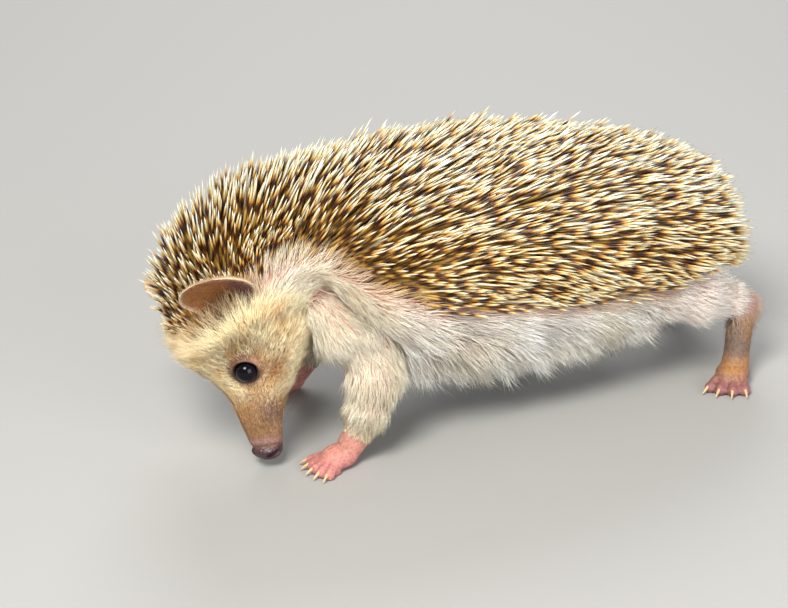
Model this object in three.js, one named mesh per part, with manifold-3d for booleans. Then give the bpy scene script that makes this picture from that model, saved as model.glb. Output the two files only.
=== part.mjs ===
// A four-toed hedgehog (Atelerix albiventris), life size, standing with its head hung down to the ground.
// Millimetres. The animal faces -X, its left side is -Y and it stands on the plane z = 0.
// The spiny back, nape and crown, the furred belly, throat and head, and the bare snout are one smooth
// body, parted by thin gaps into named pieces. The surfaces lie at the tips of the spines and fur.
import * as THREE from "three";
import { mergeVertices } from "three/addons/utils/BufferGeometryUtils.js";
import Module from "manifold-3d";

const wasm = await Module();
wasm.setup();

// ---------------------------------------------------------------- driving dimensions
const GAP = 0.3; // between neighbouring pieces
const RAD = Math.PI / 180;

// Distances along the body are measured back from the nose tip, down the middle of the animal. Places
// along it are given as if the animal were straight, before its head and neck roll to the left.
const NOSE_TIP = { x: -72.5, z: -1.2 };
const HEAD_PITCH = 89; // degrees that the head's axis turns down from level
const HEAD_ROLL = 20; // degrees that the head and neck lean to the left
const ROLL_AXIS = 58; // height of the line that they lean about
const NOSE_LENGTH = 4.2; // of the bare nose pad
const SNOUT_LENGTH = 18; // from the nose tip to where the face fur begins
const FACE_LENGTH = 40; // from the nose tip to the brow, where the spines begin
const HEAD_LENGTH = 52; // from the nose tip to the head base
const NECK_END = 76; // where the neck meets the shoulders
const BODY_LENGTH = 219;
const NOSE_ROUNDING = 3.4;
const RUMP_ROUNDING = 27;
// Half sizes of the head: at the nose pad, what the brow adds, and how fast it widens between them.
const HEAD_UP = { nose: 4.9, brow: 17.2, power: 1.5 };
const HEAD_DOWN = { nose: 4.2, brow: 18.3, power: 1.75 };
const HEAD_SIDE = { nose: 4.4, brow: 18.2, power: 1.55 };

// Places where the head's sizes are worked out, back from the nose tip.
const HEAD_STATIONS = [0, 4, 9, 15, 21, 27, 34, FACE_LENGTH];

// Sections of the neck and trunk: their middle, the slope of the body there, how far it leans to the
// left, and how far the coat reaches up, down and sideways from the middle.
const SECTIONS = [
  { back: 45, x: -71.6, z: 43.8, pitch: 86, roll: HEAD_ROLL, up: 28, down: 23, side: 24.5 }, // crown
  { back: 50, x: -70.9, z: 48.7, pitch: 78, roll: HEAD_ROLL, up: 32, down: 22.5, side: 27 }, // head base
  { back: 60, x: -64.7, z: 56.4, pitch: 58, roll: HEAD_ROLL, up: 33, down: 19.5, side: 31 }, // neck
  { back: 68, x: -57.8, z: 59.3, pitch: 40, roll: 18, up: 31, down: 16.5, side: 33.5 }, // neck base
  { back: 76, x: -50.9, z: 59.2, pitch: 25, roll: 14, up: 31, down: 16.5, side: 36 }, // shoulders
  { back: 88, x: -41, z: 57.5, pitch: 12, roll: 9, up: 32, down: 28, side: 38.5 }, // chest
  { back: 101, x: -30, z: 55.6, pitch: 3, roll: 4.5, up: 34.5, down: 35, side: 41 }, // ribs
  { back: 131, x: 0, z: 52.6, pitch: -4, roll: 0, up: 38, down: 38.5, side: 43.5 }, // middle of the back
  { back: 166, x: 35, z: 47.3, pitch: -12, roll: 0, up: 36.5, down: 34, side: 40 }, // loin
  { back: 192, x: 61, z: 41.2, pitch: -15, roll: 0, up: 33.5, down: 26, side: 34.5 }, // hips
  { back: 219, x: 87.5, z: 34.5, pitch: -15, roll: 0, up: 31, down: 19, side: 31 }, // rump end
];

// Where the spines end on the flank, as an angle round the body from the middle of the back.
const SPINE_EDGE = { trunk: 101 * RAD, neck: 80 * RAD, brow: 14 * RAD };
const EDGE_TURN = 14; // how far behind the neck the edge begins to narrow
const EDGE_POWER = 2.2; // how late it narrows to the brow

const TRUNK_SECTIONS = 20;
const NECK_SECTIONS = 6;
const CROWN_SECTIONS = 5;
const HEAD_SECTIONS = 9;
const SNOUT_SECTIONS = 4;
const NOSE_SECTIONS = 4;
const RING = 30; // points round a whole section of the body
const CUTTER_RING = 48; // points round the whole body where it cuts other pieces
const RUMP_CROWDING = 1.35; // how much the sections crowd towards the rump's end
const NOSE_CROWDING = 1.8; // and towards the nose tip

const EAR = {
  back: 48.5, // from the nose tip, along the head
  round: 68 * RAD, // from the middle of the crown
  sunk: 4, // of its root below the coat
  length: 20, // with its root
  width: 23,
  thickness: 1.6,
  cup: 4.2, // depth of the hollow across the ear
  curl: 1.5, // how far the tip bends forward
  widest: 0.45, // where, from the root at 0 to the tip at 1
  rootWidth: 0.75, // as a share of the widest
  rows: 6,
  columns: 6,
  up: { dorsal: 0.55, along: -0.5, left: 0.67 }, // where the tip points
  facing: { along: 0.88, left: 0.47 }, // where the hollow side looks
};
const EYE = { back: 30, round: 65 * RAD, radius: 3.5, proud: 1.7 };

// Limbs of the left side as points and radii, from inside the body down to the foot. The right side
// mirrors them.
const FORELEG = [
  { at: [-40, -18, 42], radius: 14 },
  { at: [-39, -25, 29], radius: 10.5 },
  { at: [-42, -27.5, 19], radius: 7.4 },
  { at: [-46, -28, 10], radius: 5.2 },
];
const WRIST = [
  { at: [-46, -28, 10], radius: 4.4 },
  { at: [-49, -28.2, 6.2], radius: 4.2 },
];
const HINDLEG = [
  { at: [56, -16, 36], radius: 15 },
  { at: [68, -21, 31], radius: 12 },
  { at: [79, -23.5, 27], radius: 7.2 },
  { at: [84.5, -24.5, 24], radius: 5.6 },
];
const HEEL = [
  { at: [84.5, -24.5, 24.5], radius: 4.9 },
  { at: [83, -25.3, 18], radius: 4.3 },
  { at: [81, -27, 10], radius: 4.2 },
  { at: [79.5, -28.5, 5], radius: 4.6 },
];
// The pad's middle and half sizes, how far it turns outwards, and the toes' number, spread and length.
const FOREFOOT = {
  at: [-53, -28.5, 3.4],
  half: [6.4, 5.4, 3.8],
  turn: 12 * RAD,
  toes: 5,
  fan: 30 * RAD,
  toe: 5.6,
};
const HINDFOOT = {
  at: [78, -30, 3.6],
  half: [6.2, 5.6, 4.0],
  turn: 52 * RAD,
  toes: 4,
  fan: 25 * RAD,
  toe: 6.0,
};
// Toe roots lie on an arc: forward and outward as shares of the pad's half sizes. Outer toes are shorter.
const TOE = { radius: 1.75, knuckle: 0.35, rootHeight: 2.6, forward: 0.45, outward: 0.62, shorter: 0.16 };
const CLAW = { length: 3.6, radius: 0.85, tip: 0.45, tipHeight: 0.75 };
const TAIL = [
  { at: [74, 0, 27], radius: 4.2 },
  { at: [85, 0, 20.5], radius: 3 },
  { at: [91.5, 0, 16], radius: 1.5 },
];
const LIMB_RING = 10;
const CAP_FULLNESS = 0.8; // of a limb's rounded ends
const TOE_RING = 6;
const CLAW_RING = 4;

// ---------------------------------------------------------------- the body's middle line and sections
const headReach = ({ nose, brow, power }, back) => nose + brow * Math.pow(back / FACE_LENGTH, power);
const headSection = (back) => ({
  back,
  x: NOSE_TIP.x + back * Math.cos(HEAD_PITCH * RAD),
  z: NOSE_TIP.z + back * Math.sin(HEAD_PITCH * RAD),
  pitch: HEAD_PITCH,
  roll: HEAD_ROLL,
  up: headReach(HEAD_UP, back),
  down: headReach(HEAD_DOWN, back),
  side: headReach(HEAD_SIDE, back),
});
const stations = [...HEAD_STATIONS.map(headSection), ...SECTIONS];

// A smooth curve through one measure of the stations: cubic pieces whose slopes follow their neighbours.
function smoothThrough(key) {
  const at = stations.map((station) => station.back);
  const v = stations.map((station) => station[key]);
  const rise = v.slice(1).map((value, i) => (value - v[i]) / (at[i + 1] - at[i]));
  const slope = v.map((_, i) => {
    if (i === 0) return rise[0];
    if (i === v.length - 1) return rise[i - 1];
    const before = at[i] - at[i - 1];
    const after = at[i + 1] - at[i];
    return (rise[i - 1] * after + rise[i] * before) / (before + after);
  });
  return (back) => {
    let i = 0;
    while (i < v.length - 2 && back > at[i + 1]) i++;
    const h = at[i + 1] - at[i];
    const t = (back - at[i]) / h;
    const fromStart = (1 + 2 * t) * (1 - t) ** 2 * v[i] + t * (1 - t) ** 2 * h * slope[i];
    return fromStart + t * t * (3 - 2 * t) * v[i + 1] + t * t * (t - 1) * h * slope[i + 1];
  };
}
const middleX = smoothThrough("x");
const middleZ = smoothThrough("z");
const pitchAt = smoothThrough("pitch");
const rollAt = smoothThrough("roll");
const reachUp = smoothThrough("up");
const reachDown = smoothThrough("down");
const reachSide = smoothThrough("side");

// A section's middle, with the directions towards the nose, the animal's back and its left side.
function spineFrame(back) {
  const pitch = pitchAt(back) * RAD;
  const roll = -rollAt(back) * RAD;
  const rolled = (x, y, z) => new THREE.Vector3(x, y, z).applyAxisAngle(new THREE.Vector3(1, 0, 0), roll);
  const middle = rolled(middleX(back), 0, middleZ(back) - ROLL_AXIS);
  middle.z += ROLL_AXIS;
  return {
    middle,
    along: rolled(-Math.cos(pitch), 0, -Math.sin(pitch)),
    dorsal: rolled(-Math.sin(pitch), 0, Math.cos(pitch)),
    left: rolled(0, -1, 0),
  };
}

// The nose and the rump close as the ends of an ellipsoid.
function endRounding(back) {
  const fromNose = Math.min(1, back / NOSE_ROUNDING);
  const fromRump = Math.min(1, (BODY_LENGTH - back) / RUMP_ROUNDING);
  return Math.sqrt(1 - (1 - fromRump) ** 2) * Math.sqrt(1 - (1 - fromNose) ** 2);
}

// A point of the body's surface: round is the angle from the back's middle, positive to the left side.
function bodyPoint(back, round, out = 0) {
  const { middle, dorsal, left } = spineFrame(back);
  const size = endRounding(back);
  const rise = Math.cos(round);
  const height = (rise > 0 ? reachUp(back) : reachDown(back)) * size + out;
  const width = reachSide(back) * size + out;
  return middle.addScaledVector(dorsal, height * rise).addScaledVector(left, width * Math.sin(round));
}

// ---------------------------------------------------------------- closed meshes
// Joins rings of points into a closed surface, with a fan over each end.
function closedLoft(rings) {
  const count = rings[0].length;
  const points = rings.flat();
  const faces = [];
  for (let i = 0; i + 1 < rings.length; i++)
    for (let j = 0; j < count; j++) {
      const k = (j + 1) % count;
      const a = i * count + j;
      const b = i * count + k;
      faces.push([a, b, b + count], [a, b + count, a + count]);
    }
  for (const [start, turned] of [
    [0, true],
    [(rings.length - 1) * count, false],
  ]) {
    const middle = new THREE.Vector3();
    for (let j = 0; j < count; j++) middle.addScaledVector(points[start + j], 1 / count);
    const at = points.push(middle) - 1;
    for (let j = 0; j < count; j++) {
      const k = start + ((j + 1) % count);
      faces.push(turned ? [at, k, start + j] : [at, start + j, k]);
    }
  }
  return solid(points, faces);
}

// A manifold-3d solid from points and triangles, turned to face outwards.
function solid(points, faces) {
  const flat = new Float32Array(faces.flat().flatMap((i) => points[i].toArray()));
  const loose = new THREE.BufferGeometry();
  loose.setAttribute("position", new THREE.BufferAttribute(flat, 3));
  return fromGeometry(loose);
}

function fromGeometry(geometry) {
  const bare = geometry.clone();
  bare.deleteAttribute("normal");
  bare.deleteAttribute("uv");
  const merged = mergeVertices(bare, 1e-4);
  const build = (triVerts) =>
    new wasm.Manifold(
      new wasm.Mesh({ numProp: 3, vertProperties: merged.attributes.position.array, triVerts }),
    );
  const triVerts = new Uint32Array(merged.index.array);
  const made = build(triVerts);
  return made.volume() < 0 ? build(triVerts.reverse()) : made;
}

function toGeometry(manifold) {
  const mesh = manifold.getMesh();
  const geometry = new THREE.BufferGeometry();
  geometry.setAttribute("position", new THREE.BufferAttribute(mesh.vertProperties, 3));
  geometry.setIndex(new THREE.BufferAttribute(mesh.triVerts, 1));
  return geometry;
}

const spread = (from, to, count) =>
  Array.from({ length: count + 1 }, (_, i) => from + ((to - from) * i) / count);

// A length of the body between two angles, from one flank over to the other.
function bodyLength(sections, fromRound, toRound, points, out = 0) {
  const ring = (back) =>
    spread(fromRound(back), toRound(back), points).map((round) => bodyPoint(back, round, out));
  return closedLoft(sections.map(ring));
}

// ---------------------------------------------------------------- the spiny and furred lengths
const smoothStep = (t) => THREE.MathUtils.smoothstep(t, 0, 1);
const mix = (a, b, t) => a + (b - a) * t;

// The angle where the spines end, which narrows from the flank over the neck to the brow.
function spineEdge(back) {
  const turnsAt = NECK_END + EDGE_TURN;
  const overNeck = smoothStep((turnsAt - back) / (turnsAt - HEAD_LENGTH));
  const overBrow = THREE.MathUtils.clamp((HEAD_LENGTH - back) / (HEAD_LENGTH - FACE_LENGTH), 0, 1);
  return mix(mix(SPINE_EDGE.trunk, SPINE_EDGE.neck, overNeck), SPINE_EDGE.brow, overBrow ** EDGE_POWER);
}

const RUMP_END = BODY_LENGTH - 0.25;
const NOSE_END = 0.06;
// Sections crowd towards the rounded ends of the rump and the nose.
const trunkLength = RUMP_END - NECK_END - GAP;
const trunkSections = spread(0, 1, TRUNK_SECTIONS).map(
  (t) => RUMP_END - trunkLength * t ** RUMP_CROWDING,
);
const neckSections = spread(HEAD_LENGTH + GAP, NECK_END, NECK_SECTIONS);
const crownSections = spread(FACE_LENGTH, HEAD_LENGTH, CROWN_SECTIONS);
const faceSections = spread(SNOUT_LENGTH + GAP, HEAD_LENGTH, HEAD_SECTIONS);
const snoutSections = spread(NOSE_LENGTH + GAP, SNOUT_LENGTH, SNOUT_SECTIONS);
const noseSections = spread(0, 1, NOSE_SECTIONS).map(
  (t) => NOSE_END + (NOSE_LENGTH - NOSE_END) * t ** NOSE_CROWDING,
);

const gapAngle = (back) => GAP / Math.max(3, reachSide(back) * endRounding(back));
const above = (sections) =>
  bodyLength(
    sections,
    (back) => -spineEdge(back),
    (back) => spineEdge(back),
    RING / 2,
  );
// Runs round the other way, so that the flat inner faces of a pair are split along the same diagonals.
const below = (sections) =>
  bodyLength(
    sections,
    (back) => 2 * Math.PI - spineEdge(back) - gapAngle(back),
    (back) => spineEdge(back) + gapAngle(back),
    RING / 2,
  );
// A whole ring, open at one point so that the loft doesn't hold it twice.
const around = (sections, points = RING, out = 0) =>
  bodyLength(
    sections,
    () => 0,
    () => 2 * Math.PI * (1 - 1 / points),
    points - 1,
    out,
  );

const back = above(trunkSections);
const belly = below(trunkSections);
const nape = above(neckSections);
const throat = below(neckSections);

// The head is whole but for the crown, which takes its spiny top.
const wholeBody = around(
  [...faceSections, ...neckSections, ...trunkSections.toReversed()],
  CUTTER_RING,
  2 * GAP,
);
const crown = above(crownSections);
const crownRoom = closedLoft(
  [FACE_LENGTH - GAP, ...crownSections, HEAD_LENGTH + 1].map((back) => {
    const edge = spineEdge(back) + gapAngle(back);
    const corner = (round) => bodyPoint(back, round).addScaledVector(spineFrame(back).dorsal, -2 * GAP);
    const arch = spread(-edge, edge, RING / 2).map((round) => bodyPoint(back, round, 1));
    return [corner(-edge), ...arch, corner(edge)];
  }),
);
const eyeAt = (side) => bodyPoint(EYE.back, side * EYE.round, EYE.proud - EYE.radius);
const ball = (at, radius, across = 12, down = 8) =>
  fromGeometry(new THREE.SphereGeometry(radius, across, down).translate(at.x, at.y, at.z));
let head = around(faceSections).subtract(crownRoom);
for (const side of [1, -1]) head = head.subtract(ball(eyeAt(side), EYE.radius + GAP));
const snout = around(snoutSections);
const nose = around(noseSections);

// ---------------------------------------------------------------- limbs
const mirrorPoint = ([x, y, z], side) => new THREE.Vector3(x, side * y, z);

// A round limb through points with radii, bent smoothly and closed by round ends.
function limb(joints, side, { out = 0, ring = LIMB_RING, steps = 2, caps = 2 } = {}) {
  const curve = new THREE.CatmullRomCurve3(
    joints.map((joint) => mirrorPoint(joint.at, side)),
    false,
    "centripetal",
  );
  const last = joints.length - 1;
  const samples = last * steps;
  const rings = [];
  for (let i = -caps; i <= samples + caps; i++) {
    const t = THREE.MathUtils.clamp(i / samples, 0, 1);
    const along = curve.getTangent(t);
    const across = new THREE.Vector3(0, 1, 0).cross(along).normalize();
    const third = along.clone().cross(across);
    const span = Math.min(last - 1, Math.floor(t * last));
    const radius = mix(joints[span].radius, joints[span + 1].radius, smoothStep(t * last - span)) + out;
    const beyond = i < 0 ? i : Math.max(0, i - samples); // the rounded ends
    const cap = (Math.abs(beyond) / (caps + 0.15)) * 90 * RAD;
    const reach = radius * Math.sin(cap) * Math.sign(beyond) * CAP_FULLNESS;
    const middle = curve.getPoint(t).addScaledVector(along, reach);
    rings.push(
      spread(0, 2 * Math.PI * (1 - 1 / ring), ring - 1).map((angle) =>
        middle
          .clone()
          .addScaledVector(across, radius * Math.cos(cap) * Math.cos(angle))
          .addScaledVector(third, radius * Math.cos(cap) * Math.sin(angle)),
      ),
    );
  }
  return closedLoft(rings);
}

const FLOOR_CUT = fromGeometry(new THREE.BoxGeometry(400, 400, 20).translate(0, 0, -10));

// A foot: a rounded pad, toes that fan out from it and a claw on each, all cut flat at the floor.
function foot(shape, shank, side) {
  const [x, y, z] = shape.at;
  const middle = new THREE.Vector3(x, side * y, z);
  const heading = (angle) => new THREE.Vector3(-Math.cos(angle), -side * Math.sin(angle), 0);
  const pad = new THREE.SphereGeometry(1, 9, 6).scale(...shape.half);
  pad.rotateZ(side * shape.turn).translate(middle.x, middle.y, middle.z);
  let made = fromGeometry(pad).add(limb(shank, side));
  const joint = (point, z, radius) => ({ at: [point.x, point.y, z], radius });
  for (let i = 0; i < shape.toes; i++) {
    const row = (2 * i) / (shape.toes - 1) - 1; // -1 inner to 1 outer
    const angle = shape.turn + row * shape.fan;
    const root = middle
      .clone()
      .addScaledVector(heading(shape.turn), shape.half[0] * TOE.forward)
      .addScaledVector(heading(shape.turn + Math.PI / 2), row * shape.half[1] * TOE.outward);
    const tip = root.clone().addScaledVector(heading(angle), shape.toe * (1 - TOE.shorter * row * row));
    const clawTip = tip.clone().addScaledVector(heading(angle), CLAW.length);
    const toe = [
      joint(root, TOE.rootHeight, TOE.radius + TOE.knuckle),
      joint(tip, TOE.radius - 0.15, TOE.radius),
    ];
    const claw = [
      joint(tip, TOE.radius + 0.5, CLAW.radius),
      joint(clawTip, CLAW.tipHeight, CLAW.radius * CLAW.tip),
    ];
    made = made.add(limb(toe, 1, { ring: TOE_RING, steps: 1, caps: 1 }));
    made = made.add(limb(claw, 1, { ring: CLAW_RING, steps: 1, caps: 1 }));
  }
  return made.subtract(FLOOR_CUT);
}

// ---------------------------------------------------------------- ears
// A cupped leaf: across runs from rim to rim, up from the root to the rounded tip.
function ear(side) {
  const { along, dorsal, left } = spineFrame(EAR.back);
  const toward = (way) =>
    new THREE.Vector3()
      .addScaledVector(along, way.along)
      .addScaledVector(dorsal, way.dorsal ?? 0)
      .addScaledVector(left, side * way.left)
      .normalize();
  const root = bodyPoint(EAR.back, side * EAR.round, -EAR.sunk);
  const up = toward(EAR.up);
  const facing = toward(EAR.facing);
  facing.addScaledVector(up, -facing.dot(up)).normalize();
  const across = up.clone().cross(facing).normalize();
  const surface = (u, v, offset) => {
    const narrowing = Math.max(0, v - EAR.widest) / (1 - EAR.widest);
    const rounding = Math.sqrt(1 - 0.96 * narrowing ** 2);
    const taper = rounding * mix(EAR.rootWidth, 1, smoothStep(v / EAR.widest));
    const hollow = EAR.cup * (1 - v ** 3) * (1 - u * u);
    return root
      .clone()
      .addScaledVector(up, EAR.length * v)
      .addScaledVector(across, (EAR.width / 2) * taper * u)
      .addScaledVector(facing, offset - hollow + EAR.curl * v * v);
  };
  const ring = (v) => [
    ...spread(-1, 1, EAR.columns).map((u) => surface(u, v, EAR.thickness / 2)),
    ...spread(1, -1, EAR.columns).map((u) => surface(u, v, -EAR.thickness / 2)),
  ];
  return closedLoft(spread(0, 1, EAR.rows).map((t) => ring(Math.sin(t * 90 * RAD))));
}

// ---------------------------------------------------------------- the group of named pieces
const skin = {
  spines: new THREE.MeshStandardMaterial({ color: 0x9c8457, roughness: 0.6, metalness: 0 }),
  belly_fur: new THREE.MeshStandardMaterial({ color: 0xe9e2d3, roughness: 0.85, metalness: 0 }),
  face_fur: new THREE.MeshStandardMaterial({ color: 0xd8c199, roughness: 0.85, metalness: 0 }),
  bare_skin: new THREE.MeshStandardMaterial({ color: 0xc59384, roughness: 0.6, metalness: 0 }),
  snout_skin: new THREE.MeshStandardMaterial({ color: 0x94705f, roughness: 0.55, metalness: 0 }),
  nose_skin: new THREE.MeshStandardMaterial({ color: 0x4a3038, roughness: 0.35, metalness: 0 }),
  ear_skin: new THREE.MeshStandardMaterial({ color: 0xa17a5f, roughness: 0.7, metalness: 0 }),
  eye: new THREE.MeshStandardMaterial({ color: 0x0b0c10, roughness: 0.08, metalness: 0 }),
};

const hedgehog = new THREE.Group();
function addPiece(name, shape, material) {
  const mesh = new THREE.Mesh(toGeometry(shape), material);
  mesh.name = name;
  hedgehog.add(mesh);
}

addPiece("back", back, skin.spines);
addPiece("belly", belly, skin.belly_fur);
addPiece("nape", nape, skin.spines);
addPiece("throat", throat, skin.belly_fur);
addPiece("crown", crown, skin.spines);
addPiece("head", head, skin.face_fur);
addPiece("snout", snout, skin.snout_skin);
addPiece("nose", nose, skin.nose_skin);
addPiece("tail", limb(TAIL, 1).subtract(wholeBody), skin.bare_skin);
for (const [label, side] of [
  ["left", 1],
  ["right", -1],
]) {
  const foreleg = limb(FORELEG, side);
  const hindleg = limb(HINDLEG, side);
  addPiece("foreleg_" + label, foreleg.subtract(wholeBody), skin.belly_fur);
  addPiece("hindleg_" + label, hindleg.subtract(wholeBody), skin.belly_fur);
  addPiece(
    "forefoot_" + label,
    foot(FOREFOOT, WRIST, side).subtract(limb(FORELEG, side, { out: GAP })),
    skin.bare_skin,
  );
  addPiece(
    "hindfoot_" + label,
    foot(HINDFOOT, HEEL, side).subtract(limb(HINDLEG, side, { out: GAP })).subtract(wholeBody),
    skin.bare_skin,
  );
  addPiece("ear_" + label, ear(side).subtract(wholeBody), skin.ear_skin);
  addPiece("eye_" + label, ball(eyeAt(side), EYE.radius), skin.eye);
}

// The origin is on the floor, under the middle of the animal's outline.
const outline = new THREE.Box3().setFromObject(hedgehog);
hedgehog.position.set(-(outline.min.x + outline.max.x) / 2, -(outline.min.y + outline.max.y) / 2, 0);

export default hedgehog;
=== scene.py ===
"""A life-size four-toed hedgehog standing with its head hung down to the ground, on a plain pale floor.

Shapes are worked out in millimetres in the CAD design's own place, then moved into the row's frame in metres.
The animal faces -X, its left side is -Y and it stands on z = 0. Places on the head, neck and trunk are given
as a distance back from the nose tip and an angle round from the middle of the back, positive to the left. One
closed skin is made first, then the fields that say how its coat grows, then spines and fur.
"""
import itertools
import math
from types import SimpleNamespace

import bpy
import numpy as np
from mathutils import Matrix, Vector, kdtree


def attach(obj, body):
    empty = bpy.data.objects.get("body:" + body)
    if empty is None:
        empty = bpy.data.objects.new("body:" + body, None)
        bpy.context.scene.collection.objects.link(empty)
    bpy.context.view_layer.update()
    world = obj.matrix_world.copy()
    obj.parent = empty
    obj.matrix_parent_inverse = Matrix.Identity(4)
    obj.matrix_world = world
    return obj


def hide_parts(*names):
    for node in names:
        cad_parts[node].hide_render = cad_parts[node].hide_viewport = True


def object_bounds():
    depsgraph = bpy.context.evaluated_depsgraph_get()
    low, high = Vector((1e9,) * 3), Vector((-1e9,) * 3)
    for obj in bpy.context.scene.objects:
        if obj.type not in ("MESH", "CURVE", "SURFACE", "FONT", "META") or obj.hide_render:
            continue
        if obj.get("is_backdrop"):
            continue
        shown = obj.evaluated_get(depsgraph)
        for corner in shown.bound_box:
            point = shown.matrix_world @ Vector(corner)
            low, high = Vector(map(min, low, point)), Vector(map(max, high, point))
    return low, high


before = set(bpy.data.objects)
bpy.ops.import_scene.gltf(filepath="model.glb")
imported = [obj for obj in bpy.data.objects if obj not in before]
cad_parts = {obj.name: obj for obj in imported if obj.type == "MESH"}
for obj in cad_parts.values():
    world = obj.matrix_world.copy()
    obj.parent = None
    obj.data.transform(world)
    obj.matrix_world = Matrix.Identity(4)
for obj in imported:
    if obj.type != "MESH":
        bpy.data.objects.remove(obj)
frame_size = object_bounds()

SHIFT = np.array([4.6188, 0.0014, 0.0])  # from the design's place to the row's, which centres the part, in mm
MM = 0.001
RAD = math.pi / 180
SIDES = (("left", 1), ("right", -1))


# ---------- small helpers
def ease(t, start=0.0, end=1.0):
    t = np.clip((t - start) / (end - start), 0, 1)
    return t * t * (3 - 2 * t)


def mix(a, b, t):
    return a + (b - a) * t


def bump(x, middle, width):
    return np.exp(-(((x - middle) / width) ** 2))


def unit(v):
    return v / np.maximum(np.linalg.norm(v, axis=-1, keepdims=True), 1e-12)


def dot(a, b):
    return np.sum(a * b, axis=-1, keepdims=True)


def levelled(v, axis):
    """v without its share along the axis."""
    return v - dot(v, axis) * axis


def smooth_through(at, value):
    """A smooth curve through the values."""
    rise = np.diff(value) / np.diff(at)
    before, after = np.diff(at)[:-1], np.diff(at)[1:]
    middle = (rise[:-1] * after + rise[1:] * before) / (before + after)
    slope = np.concatenate([rise[:1], middle, rise[-1:]])

    def curve(x):
        i = np.clip(np.searchsorted(at, x, side="left") - 1, 0, len(at) - 2)
        h = at[i + 1] - at[i]
        t = (x - at[i]) / h
        start = (1 + 2 * t) * (1 - t) ** 2 * value[i] + t * (1 - t) ** 2 * h * slope[i]
        return start + t * t * (3 - 2 * t) * value[i + 1] + t * t * (t - 1) * h * slope[i + 1]

    return curve


def nearest_of(among, places):
    """The index of the nearest of some places to each place, and how far away it is."""
    tree = kdtree.KDTree(len(among))
    for i, place in enumerate(among.tolist()):
        tree.insert(place, i)
    tree.balance()
    found = [tree.find(place)[1:] for place in places.tolist()]
    return np.array([index for index, _ in found]), np.array([away for _, away in found])


def patches(places, size, seed):
    """Soft patches from 0 to 1."""
    rng = np.random.default_rng(seed)
    total = np.zeros(len(places))
    for _ in range(7):
        way = unit(rng.normal(size=3)) * 2 * math.pi / (size * rng.uniform(0.7, 1.5))
        total += np.sin(places @ way + rng.uniform(0, 6.28))
    return ease(total / 5, -1, 1)


def rgb(code):
    """sRGB hex digits as linear numbers."""
    c = np.array([int(code[k : k + 2], 16) / 255 for k in (0, 2, 4)])
    return np.where(c <= 0.04045, c / 12.92, ((c + 0.055) / 1.055) ** 2.4)


# ---------- the body's middle line and sections
NOSE_TIP = (-72.5, -1.2)  # x and z
HEAD_PITCH = 89  # degrees that the head's axis turns down from level
HEAD_ROLL = 20  # degrees that the head and neck lean to the left
ROLL_AXIS = 58  # height of the line that they lean about
FACE_LENGTH = 40
HEAD_LENGTH = 52
NECK_END = 76
BODY_LENGTH = 219
# Half sizes of the head: at the nose pad, what the brow adds, and how fast it widens between them.
HEAD_UP = (4.9, 17.2, 1.5)
HEAD_DOWN = (4.2, 18.3, 1.75)
HEAD_SIDE = (4.4, 18.2, 1.55)
HEAD_STATIONS = (0, 4, 9, 15, 21, 27, 34, FACE_LENGTH)
# Distance back, x and z of the middle, pitch, roll, and the coat's reach up, down and sideways.
SECTIONS = [
    (45, -71.6, 43.8, 86, 20, 28, 23, 24.5),  # crown
    (50, -70.9, 48.7, 78, 20, 32, 22.5, 27),  # head base
    (60, -64.7, 56.4, 58, 20, 33, 19.5, 31),  # neck
    (68, -57.8, 59.3, 40, 18, 31, 16.5, 33.5),  # neck base
    (76, -50.9, 59.2, 25, 14, 31, 16.5, 36),  # shoulders
    (88, -41, 57.5, 12, 9, 32, 28, 38.5),  # chest
    (101, -30, 55.6, 3, 4.5, 34.5, 35, 41),  # ribs
    (131, 0, 52.6, -4, 0, 38, 38.5, 43.5),  # middle of the back
    (166, 35, 47.3, -12, 0, 36.5, 34, 40),  # loin
    (192, 61, 41.2, -15, 0, 33.5, 26, 34.5),  # hips
    (219, 87.5, 34.5, -15, 0, 31, 19, 31),  # rump end
]
# Where the spines end, in degrees from the middle of the back.
TRUNK_EDGE, NECK_EDGE, BROW_EDGE = 101, 80, 14
EDGE_TURN = 14  # how far behind the neck the edge begins to narrow
EDGE_POWER = 2.2  # how late it narrows to the brow


def head_section(back):
    def half(size):
        return size[0] + size[1] * (back / FACE_LENGTH) ** size[2]

    x = NOSE_TIP[0] + back * math.cos(HEAD_PITCH * RAD)
    z = NOSE_TIP[1] + back * math.sin(HEAD_PITCH * RAD)
    return back, x, z, HEAD_PITCH, HEAD_ROLL, half(HEAD_UP), half(HEAD_DOWN), half(HEAD_SIDE)


STATIONS = np.array([head_section(back) for back in HEAD_STATIONS] + SECTIONS)
middle_x, middle_z, pitch_at, roll_at, reach_up, reach_down, reach_side = (
    smooth_through(STATIONS[:, 0], STATIONS[:, k]) for k in range(1, 8)
)


def spine_frame(back):
    """The middle of a section and the directions to the nose, the back and the left."""
    pitch = pitch_at(back) * RAD
    roll = -roll_at(back) * RAD
    zero = np.zeros_like(pitch)

    def rolled(x, y, z):
        return np.stack([x, y * np.cos(roll) - z * np.sin(roll), y * np.sin(roll) + z * np.cos(roll)], -1)

    middle = rolled(middle_x(back), zero, middle_z(back) - ROLL_AXIS)
    middle[..., 2] += ROLL_AXIS
    along = rolled(-np.cos(pitch), zero, -np.sin(pitch))
    dorsal = rolled(-np.sin(pitch), zero, np.cos(pitch))
    left = rolled(zero, zero - 1, zero)
    return middle, along, dorsal, left


def spine_edge(back):
    """The angle from the middle of the back where the spines end."""
    over_neck = ease((NECK_END + EDGE_TURN - back) / (NECK_END + EDGE_TURN - HEAD_LENGTH))
    over_brow = np.clip((HEAD_LENGTH - back) / (HEAD_LENGTH - FACE_LENGTH), 0, 1)
    return mix(mix(TRUNK_EDGE, NECK_EDGE, over_neck), BROW_EDGE, over_brow**EDGE_POWER) * RAD


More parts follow.
